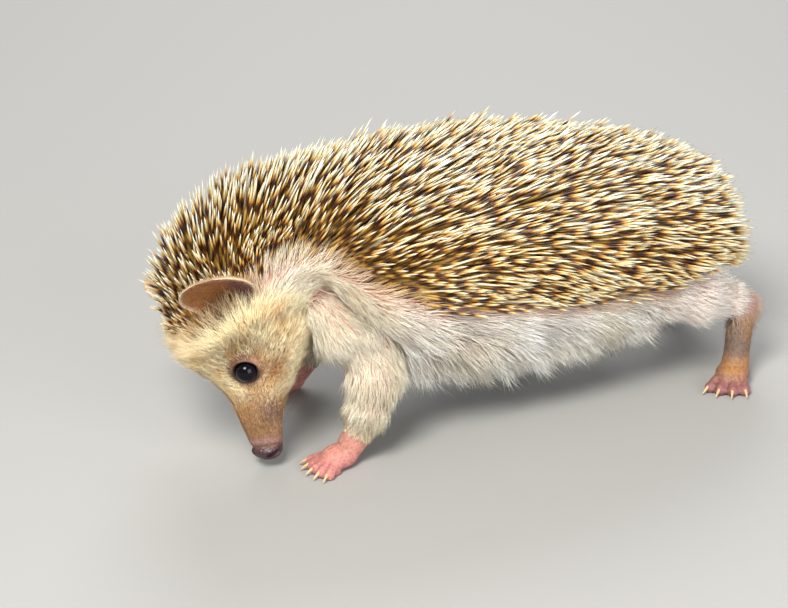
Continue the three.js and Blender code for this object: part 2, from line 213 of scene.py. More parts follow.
def body_point(back, round_, size, out):
    """A point at an angle round the body. size scales the section and out is added to it."""
    middle, _, dorsal, left = spine_frame(back)
    rise = np.cos(round_)
    height = (np.where(rise > 0, reach_up(back), reach_down(back)) + out) * size
    width = (reach_side(back) + out) * size
    return middle + dorsal * (height * rise)[..., None] + left * (width * np.sin(round_))[..., None]


# ---------- the skin of the head, neck and trunk
SKIN_START = 0.25  # back from the coat's own front end
SKIN_END = 210.5
NOSE_ROUNDING = 3.3
RUMP_ROUNDING = 25
FACE_END = 48  # no relief behind it
# How deep the skin lies under the tips: places back from the nose tip, and the depths there.
SPINE_DEPTH = ([38, 43, 46, 50, 60, 76, 90, 105, 219], [2.4, 5.5, 9, 11.5, 13, 12.5, 10.5, 9.3, 9])
FUR_DEPTH = (
    [0, 4.2, 12, 18, 26, 40, 52, 62, 76, 90, 103, 219],
    [0.15, 0.15, 0.3, 0.8, 1.7, 2.6, 3.6, 3.8, 4, 5.4, 7, 7],
)
EYE_BACK = np.array([30.0])
EYE_ROUND = 65 * RAD
EYE_AHEAD = 0.42  # how far the eyes look towards the nose
EYE_RADIUS = 3.5
EYE_PROUD = 1.7
EYEBALL_RADIUS = 3.45
EYE_SURROUND = (18, 44)  # how far back the lids' forms start and end
# Rings of the lids: height, distance from the eye's axis, and width. The socket is cut inside them.
LIDS = {"swell": (0.9, 0, 6.5), "rim": (1.15, 3.72, 0.55), "groove": (-0.25, 5.0, 0.5)}
LID_CORNER = 0.55  # how far the rings are drawn out at the front corner
SOCKET_DEPTH = 4.2
JAW_INSET, MOUTH_GROOVE = 0.75, 0.75
NOSE_STEP, NOSE_SWELL, NOSE_GROOVE = 0.5, 0.35, 0.45
NOSTRIL_DEPTH, NOSTRIL_RIM = 1.5, 0.4
MOUTH_RISE = (50, 6)  # degrees that the mouth line climbs over the nose pad, then over the snout
# The plain forms of the face: height, place and length along the head, place and width in degrees round it.
FACE_FORMS = {
    "cheek": (1.1, 32, 7, 112, 26),
    "whisker_pad": (0.8, 9, 4, 112, 24),
    "beside_bridge": (-0.7, 18, 5, 62, 26),
    "stop": (-0.6, 21, 5, 0, 40),
    "brow": (0.5, 31, 5, 38, 15),
}


def eye_centre(side):
    return body_point(EYE_BACK, np.array([side * EYE_ROUND]), 1, EYE_PROUD - EYE_RADIUS)[0]


def eye_axis(side):
    _, along, dorsal, left = spine_frame(EYE_BACK)
    outward = dorsal * math.cos(EYE_ROUND) + left * side * math.sin(EYE_ROUND)
    return unit(outward + along * EYE_AHEAD)[0]


def coat_depth(back, round_):
    in_spines = ease((spine_edge(back) - np.abs(round_)) / RAD, -9, 7)
    return mix(np.interp(back, *FUR_DEPTH), np.interp(back, *SPINE_DEPTH), in_spines)


def mouth_line(back):
    over_pad, over_snout = ease(back, 3.2, 12), ease(back, 12, 22)
    return (180 - MOUTH_RISE[0] * over_pad - MOUTH_RISE[1] * over_snout) * RAD


def plain_forms(back, round_):
    degrees = np.abs(round_) / RAD
    for height, along, length, around, width in FACE_FORMS.values():
        yield height * bump(back, along, length) * bump(degrees, around, width)


def mouth_forms(back, round_):
    """The lower jaw lies inside the lips, below a groove."""
    fade = ease(back, 3.0, 5.0) * (1 - ease(back, 19, 23))
    across = (np.abs(round_) - mouth_line(back)) * (4.4 + 0.30 * back)
    yield -JAW_INSET * ease(across, -0.3, 1.2) * fade
    yield -MOUTH_GROOVE * bump(across, 0.15, 0.4) * fade


def nose_forms(back, round_):
    """The nose pad: a step behind it, its swell, a groove down its middle and a curved slit on each side."""
    turn = np.abs(round_)
    degrees = turn / RAD
    yield -NOSE_STEP * bump(back, 5.0, 0.7) * (1 - ease(degrees, 120, 150))
    yield NOSE_SWELL * bump(back, 3.2, 1.3) * (1 - ease(degrees, 110, 150))
    yield -NOSE_GROOVE * bump(HEAD_SIDE[0] * np.sin(turn), 0, 0.4) * (1 - ease(back, 2.6, 4.6))
    slit = 1.7 + 1.4 * ease(degrees, 60, 118)
    nostril = bump(back, slit, 0.55) * ease(degrees, 48, 70) * (1 - ease(degrees, 112, 126))
    yield -NOSTRIL_DEPTH * nostril
    behind_slit = bump(back, slit + 1.1, 0.5)
    yield NOSTRIL_RIM * behind_slit * ease(degrees, 50, 75) * (1 - ease(degrees, 110, 130))


def lid_forms(back, round_, place):
    """Swollen lids round a socket for each eyeball, drawn out at the front corner."""
    for _, side in SIDES:
        near = (round_ * side > 0) & (back > EYE_SURROUND[0]) & (back < EYE_SURROUND[1])
        away = levelled(place - eye_centre(side), eye_axis(side))
        rho = np.linalg.norm(away, axis=-1)
        forward = np.sum(away * spine_frame(EYE_BACK)[1][0], axis=-1)
        rho = rho - LID_CORNER * ease(forward, 1.5, 4.2) * bump(rho, 3.6, 1.2)
        lids = sum(height * bump(rho, at, width) for height, at, width in LIDS.values())
        yield np.where(near, lids - SOCKET_DEPTH * (1 - ease(rho, 2.5, 3.3)), 0)


def face_relief(back, round_, place):
    return sum(itertools.chain(
        plain_forms(back, round_), mouth_forms(back, round_), nose_forms(back, round_),
        lid_forms(back, round_, place),
    ))


def skin_point(back, round_):
    size = np.sqrt(1 - (1 - np.clip((back - SKIN_START) / NOSE_ROUNDING, 0, 1)) ** 2)
    size = size * np.sqrt(1 - (1 - np.clip((SKIN_END - back) / RUMP_ROUNDING, 0, 1)) ** 2)
    place = body_point(back, round_, size, -coat_depth(back, round_))
    relief = np.where(back < FACE_END, face_relief(back, round_, place), 0)
    _, _, dorsal, left = spine_frame(back)
    outward = dorsal * np.cos(round_)[..., None] + left * np.sin(round_)[..., None]
    return place + outward * (relief * np.clip(size * 1.5, 0, 1))[..., None]


# ---------- meshes as arrays of places and triangles
def closed_grid(points):
    """A closed mesh over rows of rings, with a fan over each end."""
    rows, columns, _ = points.shape
    ids = np.arange(rows * columns).reshape(rows, columns)
    after = np.roll(ids, -1, axis=1)
    a, b, c, d = ids[:-1].ravel(), after[:-1].ravel(), after[1:].ravel(), ids[1:].ravel()
    first, last = rows * columns, rows * columns + 1
    faces = np.concatenate([
        np.stack([a, b, c], -1),
        np.stack([a, c, d], -1),
        np.stack([after[0], ids[0], np.full(columns, first)], -1),
        np.stack([ids[-1], after[-1], np.full(columns, last)], -1),
    ])
    places = np.concatenate([points.reshape(-1, 3), [points[0].mean(0), points[-1].mean(0)]])
    a, b, c = (places[faces[:, k]] for k in range(3))
    inside_out = np.sum(a * np.cross(b, c)) < 0
    return places, faces[:, ::-1] if inside_out else faces


def together(shapes):
    places, faces, count = [], [], 0
    for own_places, own_faces in shapes:
        places.append(own_places)
        faces.append(own_faces + count)
        count += len(own_places)
    return np.concatenate(places), np.concatenate(faces)


def placed(name, data):
    obj = bpy.data.objects.new(name, data)
    bpy.context.scene.collection.objects.link(obj)
    return obj


def temporary(places, faces):
    mesh = bpy.data.meshes.new("work")
    mesh.from_pydata(places.tolist(), [], faces.tolist())
    return placed("work", mesh)


def taken(obj, *others):
    """The places and triangles of an object, modifiers applied. It is then deleted, as are the others."""
    mesh = obj.evaluated_get(bpy.context.evaluated_depsgraph_get()).to_mesh()
    places = np.empty(len(mesh.vertices) * 3)
    mesh.vertices.foreach_get("co", places)
    mesh.calc_loop_triangles()
    faces = np.empty(len(mesh.loop_triangles) * 3, dtype=np.int32)
    mesh.loop_triangles.foreach_get("vertices", faces)
    for used in (obj, *others):
        data = used.data
        bpy.data.objects.remove(used)
        bpy.data.meshes.remove(data)
    return places.reshape(-1, 3), faces.reshape(-1, 3)


def modify(obj, kind, **settings):
    modifier = obj.modifiers.new(kind, kind)
    for key, value in settings.items():
        setattr(modifier, key, value)


def union(shapes):
    result = shapes[0]
    for shape in shapes[1:]:
        base, other = temporary(*result), temporary(*shape)
        modify(base, "BOOLEAN", operation="UNION", solver="MANIFOLD", object=other)
        result = taken(base, other)
    return result


def remeshed(shapes, voxel):
    obj = temporary(*together(shapes))
    modify(obj, "REMESH", mode="VOXEL", voxel_size=voxel)
    return taken(obj)


def edges_of(faces):
    pairs = np.concatenate([faces[:, [0, 1]], faces[:, [1, 2]], faces[:, [2, 0]]])
    return np.unique(np.sort(pairs, axis=1), axis=0)


def smoothed(values, edges, weight, times):
    """Each vertex's value moved towards its neighbours' mean, as much as its weight says."""
    n = len(values)
    a, b = edges[:, 0], edges[:, 1]
    degree = np.maximum(np.bincount(a, minlength=n) + np.bincount(b, minlength=n), 1)
    values = values.copy()
    for _ in range(times):
        for k in range(values.shape[1]):
            total = np.bincount(a, values[b, k], n) + np.bincount(b, values[a, k], n)
            values[:, k] += weight * (total / degree - values[:, k])
    return values


def vertex_normals(places, faces):
    a, b, c = (places[faces[:, k]] for k in range(3))
    normal = np.cross(b - a, c - a)
    total = np.zeros_like(places)
    for k in range(3):
        for axis in range(3):
            total[:, axis] += np.bincount(faces[:, k], normal[:, axis], len(places))
    return unit(total)


# ---------- the body's grid
COLUMNS = 180
NOSE_ROWS, TRUNK_ROWS, RUMP_ROWS = 34, 116, 22
NOSE_ROWS_END, FACE_START, FACE_ROWS_END, FACE_STEP = 5.5, 5.8, 50, 0.38
TRUNK_START, RUMP_START = 50.4, 196
# Rows crowd together on the face, where the forms are small, and at the rump's round end.
rows = np.concatenate([
    SKIN_START + (NOSE_ROWS_END - SKIN_START) * np.linspace(0, 1, NOSE_ROWS) ** 1.5 + 0.01,
    np.arange(FACE_START, FACE_ROWS_END, FACE_STEP),
    np.linspace(TRUNK_START, RUMP_START, TRUNK_ROWS),
    SKIN_END - (SKIN_END - RUMP_START) * np.linspace(1, 0, RUMP_ROWS)[1:] ** 1.6 - 0.02,
])
columns = np.linspace(-math.pi, math.pi, COLUMNS, endpoint=False)
grid_back, grid_round = (g.astype(float) for g in np.meshgrid(rows, columns, indexing="ij"))
body_points = skin_point(grid_back, grid_round)


# ---------- limbs, feet, tail and ears
# Limbs: x, sideways, z and radius at their joints on the left side, and how deep the skin lies at both ends.
FORELEG = [(-40, -18, 42, 14), (-39, -25, 29, 10.5), (-42, -27.5, 19, 7.4), (-46, -28, 10, 5.2)], (4, 0.7)
WRIST = [(-46, -28, 10, 4.4), (-49, -28.2, 6.2, 4.2)], (0, 0)
SHOULDER = [(-52.5, -17, 52, 8.5), (-46, -20, 42, 9.5)], (0, 0)  # fills the fold between neck and foreleg
HINDLEG = [(56, -16, 36, 15), (68, -21, 31, 12), (79, -23.5, 27, 7.2), (84.5, -24.5, 24, 5.6)], (4.5, 1.8)
HEEL = [(84.5, -24.5, 24.5, 4.9), (83, -25.3, 18, 4.3), (81, -27, 10, 4.2), (79.5, -28.5, 5, 4.6)], (0.1, 0.1)
TAIL = [(74, 0, 27, 4.2), (85, 0, 20.5, 3), (91.5, 0, 16, 1.5)], (0.3, 0.2)
# A foot's pad, the degrees that it turns outwards, and its toes' number, spread and length.
FOREFOOT = SimpleNamespace(at=(-53, -28.5, 3.4), half=(6.4, 5.4, 3.8), turn=12, toes=5, fan=30, toe=5.6)
HINDFOOT = SimpleNamespace(at=(78, -30, 3.6), half=(6.2, 5.6, 4.0), turn=52, toes=4, fan=25, toe=6.0)
PAD_INSET = 0.1
TOE_RADIUS = 1.75
TOE_ROOT = (0.45, 0.62)  # forward and outward, as shares of the pad's half sizes
OUTER_TOE_SHORTER = 0.16
# The lumps of a toe: along it, height and how much thicker than the toe, for both ends of each stretch.
TOE_STRETCHES = [((-0.15, 3.0, 0.35), (0.5, 2.3, 0.1)), ((0.45, 2.4, -0.1), (1.0, 1.75, -0.05))]
# The pads under a toe: along it, height and how much bigger than the toe each way.
TOE_PADS = [(0.98, 1.45, (0.12, 0.12, -0.05)), (0.25, 1.3, (0.3, 0.2, -0.1))]
FOOT_VOXEL = 0.45
CLAW = SimpleNamespace(long=4.5, radius=0.7225, sunk=0.7, height=2.45, drop=1.75, flat=0.8, point=0.02)
EAR = SimpleNamespace(sunk=4, length=20, width=23, thick=0.55, rim=0.25, cup=4.2, curl=1.5, widest=0.45)
EAR_ROOT_SHARE, EAR_POINT = 0.75, 0.96  # how wide it is at its root, and how much it narrows to its tip
EAR_BACK = np.array([48.5])
EAR_ROUND = 68 * RAD
EAR_UP = (-0.5, 0.55, 0.67)  # to the nose, the back and the side
EAR_FACING = (0.88, 0.47)  # to the nose and the side
LIMB_RING = 40
EAR_ROWS, EAR_RING = 44, 96
CAP_ROWS = 6
CAP_SQUEEZE = 0.8


def tube(joints, inset, side, steps=24, ring=LIMB_RING):
    """A round limb through its joints, closed by round ends. inset thins it, from its start to its end."""
    joints = np.array(joints, dtype=float)
    joints[:, 1] *= side
    points, radii = joints[:, :3], joints[:, 3]
    last = len(joints) - 1
    knots = np.concatenate([[0], np.cumsum(np.sqrt(np.linalg.norm(np.diff(points, axis=0), axis=1)))])
    curves = [smooth_through(knots, points[:, k]) for k in range(3)]

    def place(t):
        x = np.interp(t, np.linspace(0, 1, last + 1), knots)
        return np.stack([curve(x) for curve in curves], -1)

    samples = last * steps
    index = np.arange(-CAP_ROWS, samples + CAP_ROWS + 1)
    t = np.clip(index / samples, 0, 1)
    along = unit(place(np.minimum(1, t + 0.001)) - place(np.maximum(0, t - 0.001)))
    across = unit(np.cross([0.0, 1.0, 0.0], along))
    third = np.cross(along, across)
    span = np.minimum(last - 1, np.floor(t * last).astype(int))
    radius = mix(radii[span], radii[span + 1], ease(t * last - span)) - mix(inset[0], inset[1], t)
    beyond = np.where(index < 0, index, np.maximum(0, index - samples))
    cap = np.abs(beyond) / (CAP_ROWS + 0.15) * math.pi / 2
    middle = place(t) + along * (radius * np.sin(cap) * np.sign(beyond) * CAP_SQUEEZE)[:, None]
    angle = np.linspace(0, 2 * math.pi, ring, endpoint=False)
    cos, sin = np.cos(angle)[None, :, None], np.sin(angle)[None, :, None]
    wide = (radius * np.cos(cap))[:, None, None]
    return closed_grid(middle[:, None] + wide * (across[:, None] * cos + third[:, None] * sin))


def ball(at, half, turn=0.0, rings=16, ring=24):
    lat = np.linspace(-math.pi / 2, math.pi / 2, rings + 2)[1:-1]
    lon = np.linspace(0, 2 * math.pi, ring, endpoint=False)
    x = np.cos(lat)[:, None] * np.cos(lon) * half[0]
    y = np.cos(lat)[:, None] * np.sin(lon) * half[1]
    z = np.sin(lat)[:, None] * np.ones_like(lon) * half[2]
    cos, sin = math.cos(turn), math.sin(turn)
    points = np.stack([x * cos - y * sin, x * sin + y * cos, z], -1) + np.array(at)
    return closed_grid(points)


def toes_of(shape, side):
    """For each toe its root, its tip and the way that it points, all level."""
    x, y, _ = shape.at
    middle = np.array([x, side * y, 0.0])
    turn = shape.turn * RAD

    def heading(angle):
        return np.array([-math.cos(angle), -side * math.sin(angle), 0.0])

    for i in range(shape.toes):
        row = 2 * i / (shape.toes - 1) - 1
        root = middle + heading(turn) * shape.half[0] * TOE_ROOT[0]
        root = root + heading(turn + math.pi / 2) * row * shape.half[1] * TOE_ROOT[1]
        way = heading(turn + row * shape.fan * RAD)
        tip = root + way * shape.toe * (1 - OUTER_TOE_SHORTER * row * row)
        yield root, tip, way


def toe_lumps(root, tip):
    def at(t, height):
        return tuple(root + (tip - root) * t + np.array([0, 0, height]))

    for ends in TOE_STRETCHES:
        joints = [(*at(t, height), TOE_RADIUS + thicker) for t, height, thicker in ends]
        yield tube(joints, (0, 0), 1, 8, 16)
    for t, height, bigger in TOE_PADS:
        yield ball(at(t, height), [TOE_RADIUS + more for more in bigger])


def foot(shape, shank, side):
    """A pad, the shank above it and its toes, melted into one smooth form."""
    x, y, z = shape.at
    half = np.array(shape.half) - PAD_INSET
    parts = [ball((x, side * y, z), half, side * shape.turn * RAD), tube(*shank, side, 10, 28)]
    for root, tip, _ in toes_of(shape, side):
        parts.extend(toe_lumps(root, tip))
    places, faces = remeshed(parts, FOOT_VOXEL)
    return smoothed(places, edges_of(faces), 0.55, 3), faces


def claw(tip, way):
    """A curved horn cone that leaves the toe's tip level and bends to the floor."""
    t = np.linspace(0, 1, 12)
    ring = np.linspace(0, 2 * math.pi, 12, endpoint=False)
    up = np.array([0, 0, 1.0])
    path = tip - way * CLAW.sunk + up * CLAW.height + way * (t * CLAW.long)[:, None]
    path[:, 2] -= CLAW.drop * t**1.6
    radius = (CLAW.radius * (1 - t**2) ** 0.75 + CLAW.point)[:, None]
    across = np.cross(way, up) * CLAW.flat
    wide, high = (radius * np.cos(ring))[..., None], (radius * np.sin(ring))[..., None]
    return closed_grid(path[:, None] + wide * across + high * up)


def ear_axes(side):
    """An ear's root and the directions up it, out of its hollow and across it."""
    _, along, dorsal, left = (v[0] for v in spine_frame(EAR_BACK))
    root = body_point(EAR_BACK, np.array([side * EAR_ROUND]), 1, -EAR.sunk)[0]
    up = unit(along * EAR_UP[0] + dorsal * EAR_UP[1] + left * side * EAR_UP[2])
    facing = unit(along * EAR_FACING[0] + left * side * EAR_FACING[1])
    facing = unit(levelled(facing, up))
    return root, up, facing, unit(np.cross(up, facing))


def ear(side):
    """A thin leaf, cupped towards the front, with a rolled rim and its tip curled forward."""
    root, up, facing, across = ear_axes(side)
    v = np.sin(np.linspace(0.0, 1, EAR_ROWS) * math.pi / 2)[:, None]
    around = np.linspace(0, 2 * math.pi, EAR_RING, endpoint=False)[None, :]
    u = np.cos(around) * np.ones_like(v)
    narrowing = np.maximum(0, v - EAR.widest) / (1 - EAR.widest)
    taper = np.sqrt(1 - EAR_POINT * narrowing**2) * mix(EAR_ROOT_SHARE, 1, ease(v / EAR.widest))
    hollow = EAR.cup * (1 - v**3) * (1 - u * u)
    thick = EAR.thick * np.sin(around) * np.sqrt(np.clip(1 - v**8, 0, 1))
    outside = np.sign(np.sin(around) + 1e-9)
    rim = EAR.rim * bump(np.abs(u), 0.97, 0.12) * outside * np.sqrt(np.clip(1 - v**6, 0, 1))
    return closed_grid(
        root
        + up * (EAR.length * v * np.ones_like(u))[..., None]
        + across * (EAR.width / 2 * taper * u)[..., None]
        + facing * (thick + rim - hollow + EAR.curl * v * v)[..., None]
    )


def skin_sources():
    """The closed forms that are joined into one skin, by name."""
    sources = {"body": closed_grid(body_points)}
    for label, side in SIDES:
        sources["foreleg_" + label] = tube(*FORELEG, side)
        sources["foreleg_top_" + label] = tube(*SHOULDER, side)
        sources["hindleg_" + label] = tube(*HINDLEG, side)
        sources["forefoot_" + label] = foot(FOREFOOT, WRIST, side)
        sources["hindfoot_" + label] = foot(HINDFOOT, HEEL, side)
        sources["ear_" + label] = ear(side)
    sources["tail"] = tube(*TAIL, 1)
    return sources


sources = skin_sources()
skin_places, skin_faces = union(list(sources.values()))


# ---------- what the skin keeps from the forms it came from
SHOULDER_SHARE = 0.4  # the shoulder's filler counts as this much of the foreleg's upper end
SHIN_HEIGHT = 8  # above it a foot's hair runs down the shank


def along_rows(points):
    return unit(np.gradient(points, axis=0))


def body_measures():
    back = np.concatenate([grid_back.ravel(), [SKIN_START, SKIN_END]])
    turn = np.concatenate([grid_round.ravel(), [0, 0]])
    lie = np.concatenate([along_rows(body_points).reshape(-1, 3), [[0, 0, 1], [1, 0, 0]]])
    return back, turn, lie


def ringed_measures(places, ring):
    """Shares from 0 to 1 along and round a limb or an ear."""
    rows = (len(places) - 2) // ring
    back = np.concatenate([np.repeat(np.linspace(0, 1, rows), ring), [0, 1]])
    turn = np.concatenate([np.tile(np.linspace(0, 1, ring), rows), [0, 0]])
    lie = along_rows(places[:-2].reshape(rows, ring, 3)).reshape(-1, 3)
    return back, turn, np.concatenate([lie, [lie[0], lie[-1]]])


def foot_measures(places, shape, side, shin_way):
    """Distance ahead of the pad's middle, and height over the floor."""
    x, y, _ = shape.at
    turn = shape.turn * RAD
    heading = np.array([-math.cos(turn), -side * math.sin(turn), -0.6])
    back = (places - np.array([x, side * y, 0])) @ (heading * [1, 1, 0])
    lie = np.tile(unit(heading), (len(places), 1))
    lie[places[:, 2] > SHIN_HEIGHT] = unit(np.array(shin_way))
    return back, places[:, 2], lie


def measures_of(name, places):
    """How far along and round a source each vertex lies, and the way that its hair lies."""
    side = 1 if name.endswith("left") else -1
    if name == "body":
        return body_measures()
    if name.startswith("ear"):
        return ringed_measures(places, EAR_RING)
    if name.startswith("forefoot"):
        return foot_measures(places, FOREFOOT, side, (0, 0, -1))
    if name.startswith("hindfoot"):
        return foot_measures(places, HINDFOOT, side, (0.25, 0, -1))
    back, turn, lie = ringed_measures(places, LIMB_RING)
    return back * (SHOULDER_SHARE if "top" in name else 1), turn, lie


measures = [measures_of(name, places) for name, (places, _) in sources.items()]
source_places = np.concatenate([places for places, _ in sources.values()])
source_part = np.concatenate([np.full(len(places), i) for i, (places, _) in enumerate(sources.values())])
nearest, _ = nearest_of(source_places, skin_places)
part = source_part[nearest]
back_at, turn_at, lie_at = (np.concatenate([m[k] for m in measures])[nearest] for k in range(3))

names = np.array(list(sources))[part]
is_body, is_tail, is_ear, is_leg, is_foot, fore_leg, hind_leg, fore_foot, hind_foot = (
    np.char.find(names, word) >= 0
    for word in ("body", "tail", "ear", "leg", "foot", "foreleg", "hindleg", "forefoot", "hindfoot")
)

# ---------- easing the skin where forms were joined
SEAM_REACH = SimpleNamespace(foot=1.6, front=9.0, rear=5.0)
HOCK = (60, 15)  # behind this x and above this height a hind foot's seam is as wide as a leg's
FRONT_X = -20
SEAM_EASING = (0.6, 30)  # how strongly it is eased, and how many times

skin_edges = edges_of(skin_faces)
seams = skin_edges[part[skin_edges[:, 0]] != part[skin_edges[:, 1]], 0]
_, from_seam = nearest_of(skin_places[seams], skin_places)
at_hock = (skin_places[:, 0] > HOCK[0]) & (skin_places[:, 2] > HOCK[1])
reach = np.where(skin_places[:, 0] < FRONT_X, SEAM_REACH.front, SEAM_REACH.rear)
reach = np.where((is_foot & ~at_hock) | is_ear, SEAM_REACH.foot, reach)
on_left = skin_places[:, 1] < 0
weight = SEAM_EASING[0] * (1 - ease(from_seam / reach))
skin_places = smoothed(skin_places, skin_edges, weight, SEAM_EASING[1])
skin_places[:, 2] = np.maximum(skin_places[:, 2], 0.0)
skin_normals = vertex_normals(skin_places, skin_faces)

# ---------- regions of the coat
degrees = np.abs(turn_at) / RAD


def behind(start, end):
    """Grows from 0 to 1 between two distances back."""
    return ease(back_at, start, end)


def ahead(start, end):
    return 1 - behind(start, end)


def spot(back, length, round_, width):
    """A soft spot at a distance back and at degrees round the body."""
    return bump(back_at, back, length) * bump(degrees, round_, width)


below_edge = (np.abs(turn_at) - spine_edge(back_at)) / RAD
spiny = is_body * ease(below_edge, 0.5, -2) * behind(40.2, 41.5)
face = is_body * ahead(44, 54)
snout = is_body * ahead(14, 21)
throat = is_body * behind(40, 56) * ahead(84, 100)
belly = is_body * behind(84, 100)
hem = ease(below_edge, 6, 40)  # from the spines' edge down to the fringe under the belly
forehead = face * behind(22, 36) * (1 - ease(degrees, 30, 70))
before_ear = is_body * spot(43.5, 4.5, 66, 30)
crown_front = is_body * ahead(46, 53) * behind(41, 43)
by_crown = is_body * ease(below_edge, 12, 2) * ahead(50, 58) * ease(degrees, 26, 44)
pink_show = bump(back_at, 108, 22) * bump(below_edge, 16, 14)
# Painted shadow: a rust-brown strip just under the spines' edge, where they overhang the fur, on the skin and
# on the hair's tips.
shadow_under_spines = is_body * bump(below_edge, mix(1.5, 4.0, behind(120, 150)), 3.4) * behind(60, 80)
upper_leg = np.where(is_leg, ahead(0.5, 0.9), 0)
hock = hind_foot * ease(turn_at, 13, 24)
ear_inside = np.where(is_ear, (turn_at < 0.5) * 1.0, 0)
ear_side = np.abs(np.cos(turn_at * 2 * math.pi))  # 1 at the ear's two edges
ear_rim = is_ear * np.maximum(ease(ear_side, 0.8, 0.97), behind(0.8, 0.95))
ear_edge = is_ear * np.maximum(ease(ear_side, 0.9, 0.99), behind(0.9, 0.985))

# ---------- the way that the coat lies
DROOP = (4, 58)  # degrees that the hair turns down on the flank, under the spines and at the belly
EYE_PARTING = (0.9, 7)  # how strongly the face's hair turns away from the eyes, and how far round them
EYE_REACH, EYE_UNDER = 16, 6  # how far round an eye's axis and under its centre a place counts as near it


def lie_over_body():
    """On the trunk the coat lies along the body's middle line, and the flank's hair hangs down."""
    _, along, dorsal, left = spine_frame(np.where(is_body, back_at, 100.0))
    over_trunk = (is_body * behind(42, 52))[:, None]
    lie = unit(mix(lie_at, -along, over_trunk))
    lie = lie - np.minimum(0, dot(lie, skin_normals)) * skin_normals
    down = left * np.cos(turn_at)[:, None] - dorsal * np.sin(turn_at)[:, None]
    down = np.sign(turn_at)[:, None] * unit(down)
    droop = mix(*DROOP, ease(below_edge, 4, 44)) * behind(70, 105) * ease(180 - degrees, 0, 25)
    droop = np.where(is_body & (below_edge > 0), droop, 0) * RAD
    return lie * np.cos(droop)[:, None] + down * np.sin(droop)[:, None]


def parted_at_eyes(lie):
    """The lie with the hair turned away from the eyes, and each place's distance from an eye's axis."""
    eye_away = np.full(len(skin_places), 99.0)
    for _, side in SIDES:
        away = skin_places - eye_centre(side)
        height = away @ eye_axis(side)
        away = levelled(away, eye_axis(side))
        rho = np.linalg.norm(away, axis=-1)
        near = is_body & (height > -EYE_UNDER) & (rho < EYE_REACH)
        eye_away = np.where(near, np.minimum(eye_away, rho), eye_away)
        lie = lie + unit(away) * (near * EYE_PARTING[0] * np.exp(-((rho / EYE_PARTING[1]) ** 2)))[:, None]
    return unit(lie), eye_away


lie_at, eye_away = parted_at_eyes(lie_over_body())

# ---------- how densely, how long and how steeply it grows
# Hairs to the square millimetre.
DENSITY = SimpleNamespace(
    snout=4.0, face=14.0, throat=5.0, flank=3.0, hem=2.3, crown=5.0, leg=5.0,
    thigh=3.6, toes=1.2, wrist=3.5, hock=2.2, ear=5.0, ear_inside=1.6, ear_rim=6.0,
    tail=2.0,
)
# Millimetres from root to tip.
LENGTH = SimpleNamespace(
    snout=0.9, face=6.4, throat=9.5, flank=11, hem=18.5, before_ear=6.5, forehead=2.0,
    crown=5.5, forearm=4.5, wrist=1.8, hock=3.6, thigh=8.0, toes=1.1, foot=1.8,
    on_hock=2.6, ear=1.3, ear_inside=1.9, tail=2.0,
)
# Degrees that it rises from the skin.
LIFT = SimpleNamespace(
    face=19, throat=24, flank=15, hem=38, before_ear=32, forehead=34, leg=17, foot=14,
    ear=22, tail=20,
)


def by_part(values, leg, foot, ear, tail):
    """A field of the body, with the values of the legs, feet, ears and tail put in."""
    for where, own in ((is_leg, leg), (is_foot, foot), (is_ear, ear), (is_tail, tail)):
        values = np.where(where, own, values)
    return values


def hair_density():
    d = DENSITY
    body = face * mix(d.snout, d.face, behind(11, 25)) * behind(5.5, 10) * ease(eye_away, 4.4, 6.2)
    body = body + throat * d.throat + belly * mix(d.flank, d.hem, hem) * (1 - 0.5 * pink_show)
    body = body * (1 - spiny) * np.maximum(ease(below_edge, 0, 9), ahead(40, 43))
    body = np.maximum(body, crown_front * d.crown)
    leg = mix(d.leg, d.thigh, upper_leg) * (1 - 0.5 * hind_leg * behind(0.8, 1.0))
    foot = mix(d.toes, d.wrist, fore_foot * ease(turn_at, 6, 10)) * ease(turn_at, 3.5, 7.0)
    ear = mix(d.ear, mix(d.ear_inside, d.ear_rim, ear_rim), ear_inside)
    return by_part(body, leg, foot + hock * d.hock, ear, d.tail)


def hair_length():
    d = LENGTH
    body = face * mix(d.snout, d.face, behind(7, 42)) * mix(0.4, 1, ease(eye_away, 4.5, 12))
    body = body + throat * d.throat + belly * mix(d.flank, d.hem, hem)
    body = body + before_ear * d.before_ear + forehead * d.forehead
    leg = mix(d.forearm, mix(d.wrist, d.hock, hind_leg * 1.0), behind(0.75, 1))
    leg = mix(leg, d.thigh, upper_leg)
    foot = mix(d.toes, d.foot, ease(turn_at, 6, 12)) + hock * d.on_hock
    ear = mix(d.ear, d.ear_inside, ear_inside * (1 - ear_rim))
    return mix(by_part(body, leg, foot, ear, d.tail), d.crown, crown_front * spiny)


def hair_lift():
    d = LIFT
    body = face * d.face + throat * d.throat + belly * mix(d.flank, d.hem, hem)
    body = body + before_ear * d.before_ear + forehead * d.forehead
    return by_part(body, d.leg, d.foot, d.ear, d.tail)


# ---------- colours of the skin and the coat
PINK_SKIN, WHITE_FUR = "f0a398", "faf6ee"
# The hair's roots are darkened as painted shade down among the hairs, more so at the hem.
ROOT_SHADE = np.array([0.88, 0.82, 0.74])  # the hair's root, as shares of its tip's colour
HEM_ROOT_SHADE = np.array([0.7, 0.64, 0.56])
FIELD_EASING = (0.5, 4)  # how strongly the fields are eased, and how many times
EYE_KEPT = 8


def painted(base, layers):
    """Named layers of colour laid over a base, each as strongly as its weight says."""
    tone = np.tile(rgb(base), (len(skin_places), 1))
    for _, code, weight in layers:
        tone = tone + (rgb(code) - tone) * weight[:, None]
    return tone


def canal_weight():
    """The ear's hollow is darkest near its root, on the side nearer to the throat."""
    low = np.zeros(len(skin_places))
    for _, side in SIDES:
        root, up, _, _ = ear_axes(side)
        low_way = unit(levelled(-spine_frame(EAR_BACK)[2][0], up))
        low = np.where(on_left == (side == 1), (skin_places - root) @ low_way, low)
    return ear_inside * ahead(0.3, 0.65) * ease(low, 1, 6)


